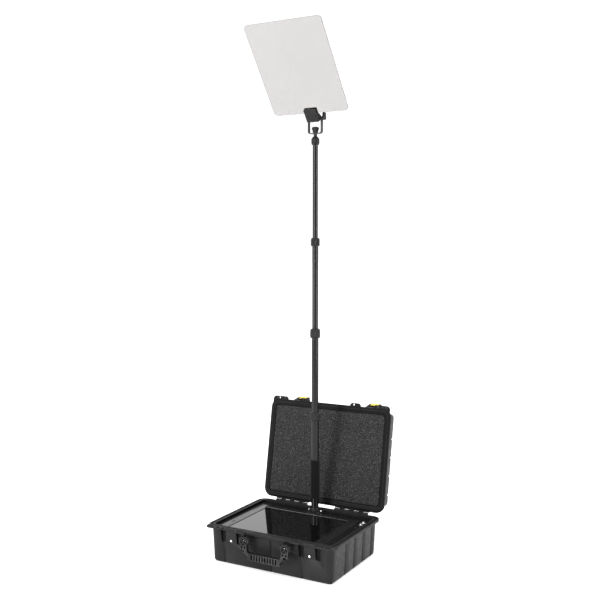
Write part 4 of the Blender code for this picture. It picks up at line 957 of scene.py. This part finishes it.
def pole():
    """Tubes, grip, flange and twist collars."""
    axis = (0, POLE_Y, 0)
    wall = 0.0012
    for i, body in enumerate(("base", "tube_2", "tube_3", "tube_4"), start=1):
        node = "pole_tube_%d" % i
        low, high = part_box(node)
        radius = (high.x - low.x) / 2
        rows = (rows_at(radius, low.z, ((-0.0004, 0), (0, 0.0004)))
                + rows_at(radius, high.z, ((0, -0.0004), (-0.0004, 0), (-wall, 0)))
                + [(radius - wall, low.z)])
        tube = turned("tube_%d" % i, rows, axis, "Z", 72, hollow=True)
        dress(tube, "pole", body, node)

    low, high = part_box("foam_grip")
    radius = (high.x - low.x) / 2
    end = ((-0.003, 0.0), (-0.0012, 0.0004), (-0.0003, 0.0014), (0, GRIP_ROUND))
    steps = 46
    straight = high.z - low.z - 2 * GRIP_ROUND
    rows = [(GRIP_BORE, low.z)] + rows_at(radius, low.z, end)
    for k in range(1, steps):
        part = k / steps
        wave = (1 - cos(2 * pi * part * GRIP_WAVES)) * 0.5
        rows.append((radius - GRIP_WAVE_DEPTH * wave, low.z + GRIP_ROUND + straight * part))
    rows += rows_at(radius, high.z, [(out, -up) for out, up in end[::-1]]) + [(GRIP_BORE, high.z)]
    grip = turned("grip", rows, axis, "Z", 72, hollow=True)
    dress(grip, "grip", "base", "foam_grip")

    for i in (1, 2, 3):
        node = "twist_collar_%d" % i
        low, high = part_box(node)
        outer = (high.x - low.x) / 2
        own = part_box("pole_tube_%d" % i)[1].x + GAP
        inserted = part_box("pole_tube_%d" % (i + 1))[1].x + GAP
        rows = ([(own, low.z)]
                + rows_at(outer, low.z, ((-0.002, 0), (-0.0008, 0.0006), (-0.0006, 0.002), (-0.0006, 0.0045),
                                         (0, 0.0056), (0, 0.007), (0, 0.015)))
                + rows_at(outer, high.z, ((0, -0.01), (0, -0.0075), (-0.0004, -0.006), (-0.001, -0.005),
                                          (-0.0012, -0.0035), (-0.003, -0.0006), (-0.0042, 0)))
                + rows_at(inserted, high.z, ((0.0008, 0), (0.0006, -0.0015)))
                + rows_at(own, high.z, ((-0.0005, -0.0015), (-0.0005, -0.013), (0, -0.013))))
        collar = turned("collar_%d" % i, rows, axis, "Z", 144, hollow=True, flutes=(6, 9, 24, 0.0011))
        dress(collar, "collar", node, node)

    low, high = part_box("pole_flange")
    plate_top = low.z + 0.0062
    span = (POLE_Y - 0.0152, POLE_Y + 0.0162)
    plate = slab("flange", (low.x, high.x), span, (low.z, plate_top), 0.006, 6)
    rows = [(0.0176, plate_top - 0.002)] + rows_at(0.0176, high.z, ((0, -0.0025), (-0.0005, -0.0008),
                                                                    (-0.0013, 0)))
    boss = turned("boss_tool", rows, axis)
    bore = drill(0.0153, plate_top - 0.001, high.z + 0.01, axis, "Z", 64)
    holes = [drill(0.0027, low.z - 0.002, plate_top + 0.002, (x, POLE_Y, 0)) for x in (-0.026, 0.026)]
    boolean(plate, [boss], "UNION")
    boolean(plate, [bore] + holes)
    soften(plate, 0.0006)
    dress(plate, "collar", "base", "pole_flange")
    for node in ("flange_screw_left", "flange_screw_right"):
        low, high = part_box(node)
        x = (low.x + high.x) / 2
        rows = ([(0.0024, low.z)]
                + rows_at(0.0042, plate_top, ((-0.0018, GAP), (0, GAP), (0, 0.0016)))
                + rows_at(0.0018, high.z, ((0.0018, -0.0003), (0.0008, 0), (0, 0), (0, -0.0014))))
        screw = turned(node + "_head", rows, (x, POLE_Y, 0), "Z", 32)
        dress(screw, "steel", "base", node)


YOKE_THICK = 0.003


def yoke_strip(low, high, top):
    """A flat strip swept along a U, narrowing to half-round ends above the tilt axis."""
    thick = YOKE_THICK
    bend = 0.01
    half = high.x - thick / 2
    width = (high.y - low.y) / 2
    reach = bend - thick / 2
    steps = 10
    quarter = [pi / 2 * k / steps for k in range(steps + 1)]
    rows = [(-half, top + width * cos(a), -1.0, 0.0, width * sin(a)) for a in quarter[1:]]
    rows += [(-half + reach - reach * cos(a), low.z + bend - reach * sin(a), -cos(a), -sin(a), width)
             for a in quarter]
    rows += [(-x, z, -nx, nz, w) for x, z, nx, nz, w in reversed(rows)]
    loops = []
    for x, z, nx, nz, w in rows:
        out_x = nx * thick / 2
        out_z = nz * thick / 2
        loops.append([(x + out_x, POLE_Y - w, z + out_z), (x + out_x, POLE_Y + w, z + out_z),
                      (x - out_x, POLE_Y + w, z - out_z), (x - out_x, POLE_Y - w, z - out_z)])
    return loft("yoke_strip", loops)


def pole_top():
    """The head of the pole, the pan knob and the yoke."""
    axis = (0, POLE_Y, 0)
    low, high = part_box("pole_head")
    yoke_low, yoke_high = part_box("yoke")
    outer = (high.x - low.x) / 2
    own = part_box("pole_tube_4")[1].x + GAP
    collar_top = low.z + 0.031
    under = yoke_low.z - GAP
    rows = ([(own, low.z)]
            + rows_at(outer, low.z, ((-0.0024, 0), (-0.0012, 0.001), (-0.0012, 0.0042), (0, 0.0056),
                                     (0, 0.007), (0, 0.013)))
            + rows_at(outer, collar_top, ((0, -0.01), (-0.0006, -0.008), (-0.0022, -0.0052)))
            + rows_at(0.0088, collar_top, ((0.0017, -0.0008), (0, 0), (-0.0018, 0.0012)))
            + [(0.0068, under - 0.001), (0.0072, under), (0.004, under), (0.004, high.z), (0.0005, high.z),
               (0.0005, low.z + 0.0043), (own, low.z + 0.0043)])
    head = turned("head", rows, axis, "Z", 120, hollow=True, flutes=(5, 7, 20, 0.0008))
    dress(head, "collar", "tube_4", "pole_head")

    low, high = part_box("pan_knob")
    crown = high.z - low.z
    skirt = ((0.0108, 0.22), (0.0126, 0.5), (0.0146, 0.7), (0.0148, 0.76), (0.0144, 0.82), (0.0126, 0.88),
             (0.0096, 0.94), (0.006, 0.98), (0.002, 1.0), (0.001, 1.0))
    rows = ([(0.0043, low.z), (0.0094, low.z), (0.0101, low.z + 0.001)]
            + [(radius, low.z + crown * part) for radius, part in skirt]
            + [(0.001, high.z - 0.008), (0.0043, high.z - 0.011)])
    knob = turned("knob", rows, axis, "Z", 120, hollow=True, flutes=(3, 7, 10, 0.0016))
    dress(knob, "collar", "pan_knob", "pan_knob")

    top = TILT_AXIS.z
    strip = yoke_strip(yoke_low, yoke_high, top)
    stud = drill(0.0043, yoke_low.z - 0.002, yoke_low.z + 0.006, axis, "Z", 32)
    bolt = drill(BOLT_BORE, -0.04, 0.04, (0, POLE_Y, top), "X", 32)
    boolean(strip, [stud, bolt])
    dress(strip, "clamp", "yoke", "yoke")

    low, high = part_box("pivot_bolt")
    head_x = low.x
    rows = (rows_at(0.0058, head_x, ((-0.0028, 0), (-0.0008, 0), (0, 0.0012), (0, 0.004), (-0.0028, 0.004)))
            + [(0.003, high.x - 0.0006), (0.0024, high.x)])
    bolt = turned("tilt_bolt", rows, (0, POLE_Y, top), "X", 40)
    dress(bolt, "steel", "glass_clamp", "pivot_bolt")

    low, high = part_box("tilt_lever")
    z = TILT_AXIS.z
    outline = ([(low.x, z - 0.0062)] + arc((high.x - 0.0045, z - 0.002), 0.0045, 270, 360, 6)
               + arc((high.x - 0.004, high.z - 0.003), 0.003, 0, 90, 5)
               + arc((high.x - 0.0082, high.z - 0.003), 0.003, 90, 180, 5)
               + [(high.x - 0.0122, z + 0.008), (high.x - 0.014, z + 0.0062), (low.x, z + 0.0062)])
    lever = extruded("lever", outline, (low.y, high.y), "Y")
    bore = drill(BOLT_BORE, low.x - 0.002, low.x + 0.008, (0, POLE_Y, z), "X", 24)
    boolean(lever, [bore])
    soften(lever, 0.0012, 3)
    dress(lever, "clamp", "tilt_lever", "tilt_lever")


def clamp_and_glass():
    """The beam-splitter glass in its two-jaw clamp, built level and turned to the tilt."""
    foot = TILT_AXIS.y - 0.0346
    middle = TILT_AXIS.z - 0.0153
    half = 0.002
    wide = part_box("clamp_front_jaw")[1].x
    front = foot - 0.02
    back = foot + 0.036
    pad = 0.0012
    jaw = 0.0045
    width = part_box("glass_panel")[1].x
    rows = [(0.0006, -half), (0.0, -half + 0.0006), (0.0, half - 0.0006), (0.0006, half)]
    loops = [rounded_outline((-width + inset, width - inset), (foot - 0.38 + inset, foot - inset),
                             0.015 - inset, middle + z, 12) for inset, z in rows]
    panel = loft("glass", loops, smooth_angle=25)
    dress(panel, "glass", "glass_clamp", "glass_panel", GLASS_TURN)

    seat = middle + half + 2 * GAP + pad
    top = seat + jaw
    heel = middle - half + 0.0004
    outline = [(front, seat), (foot + 0.001, seat), (foot + 0.001, heel), (back, heel), (back, top),
               (front, top)]
    back_jaw = extruded("back_jaw", outline, (-wide, wide), "X")
    lug_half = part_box("yoke")[1].x - YOKE_THICK - 2 * GAP
    lug_outline = ([(foot + 0.006, top - 0.002), (back - 0.0005, top - 0.002)]
                   + arc((TILT_AXIS.y, TILT_AXIS.z), 0.0078, -60, 120, 16) + [(foot + 0.01, top + 0.004)])
    lug = extruded("lug_tool", lug_outline, (-lug_half, lug_half), "X")
    bore = drill(BOLT_BORE, -0.04, 0.04, TILT_AXIS, "X", 32)
    jaw_top = middle - half - 2 * GAP - pad
    jaw_low = jaw_top - jaw
    screw_y = foot + 0.0105
    screws = {"left": -0.0185, "right": 0.0185}

    def screw_holes():
        return [drill(0.0023, jaw_low - 0.002, top + 0.001, (x, screw_y, 0)) for x in screws.values()]

    boolean(back_jaw, [lug], "UNION")
    boolean(back_jaw, [bore] + screw_holes())
    soften(back_jaw, 0.0009, 3)
    dress(back_jaw, "clamp", "glass_clamp", "clamp_back_jaw", GLASS_TURN)

    front_jaw = slab("front_jaw", (-wide, wide), (front, back), (jaw_low, jaw_top), 0.004, 6)
    boolean(front_jaw, screw_holes())
    soften(front_jaw, 0.0012, 3)
    dress(front_jaw, "clamp", "glass_clamp", "clamp_front_jaw", GLASS_TURN)
    for word, x in screws.items():
        rows = ([(0.002, top - 0.001)]
                + rows_at(0.0042, jaw_low, ((-0.0022, -GAP), (0, -GAP), (0, -0.0013), (-0.0006, -0.0021),
                                            (-0.0014, -0.0024), (-0.0024, -0.0024), (-0.0024, -0.001))))
        screw = turned("jaw_screw_" + word, rows, (x, screw_y, 0), "Z", 32)
        dress(screw, "collar", "glass_clamp", "clamp_screw_" + word, GLASS_TURN)


# ---- the studio -----------------------------------------------------------------------------------
# name, place, height of the aim on the middle axis, width, height, power in watts
LIGHTS = (("key", (-1.75, -3.95, 1.55), 1.2, 1.1, 2.4, 170.0),
          ("side_strip", (3.3, 0.1, 1.45), 1.2, 0.4, 2.3, 66.0),
          ("overhead", (0.2, -0.3, 4.2), 0.0, 3.0, 3.0, 60.0))


def studio():
    """A pale floor, soft lights and the camera."""
    work = bmesh.new()
    bmesh.ops.create_circle(work, cap_ends=True, segments=64, radius=60.0)
    floor = as_object("studio_floor", work)
    floor.location.z = -0.0005
    paint = Look("studio_floor", (0.95, 0.95, 0.95), 0.85)
    paint.mottle(0.3, 0.004)
    white = (1.0, 1.0, 1.0, 1.0)
    put(paint.shader, Emission_Color=white, Emission_Strength=0.3)
    floor.data.materials.append(paint.material)

    world = bpy.data.worlds.new("studio")
    world.use_nodes = True
    put(world.node_tree.nodes["Background"], Color=white, Strength=1.12)
    bpy.context.scene.world = world

    for name, place, aim_z, width, height, power in LIGHTS:
        light = bpy.data.lights.new(name, "AREA")
        light.shape = "RECTANGLE"
        light.size = width
        light.size_y = height
        light.energy = power
        lamp = bpy.data.objects.new(name, light)
        lamp.location = place
        aim = Vector((0, 0, aim_z)) - Vector(place)
        lamp.rotation_euler = aim.to_track_quat("-Z", "Y").to_euler()
        bpy.context.scene.collection.objects.link(lamp)

    camera_data = bpy.data.cameras.new("camera")
    camera_data.lens = 52.15
    camera_data.sensor_width = 36.0
    camera = bpy.data.objects.new("camera", camera_data)
    camera.location = (1.6302, -2.8605, 1.203)
    camera.rotation_euler = (radians(90 - 3.592), 0, radians(29.336))
    bpy.context.scene.collection.objects.link(camera)
    bpy.context.scene.camera = camera
    bpy.context.scene.view_settings.view_transform = "Standard"


studio()
case_base()
hinge_hardware()
case_lid()
lid_foam()
latches()
carry_handle()
base_interior()
hidden_parts()
pole()
pole_top()
clamp_and_glass()
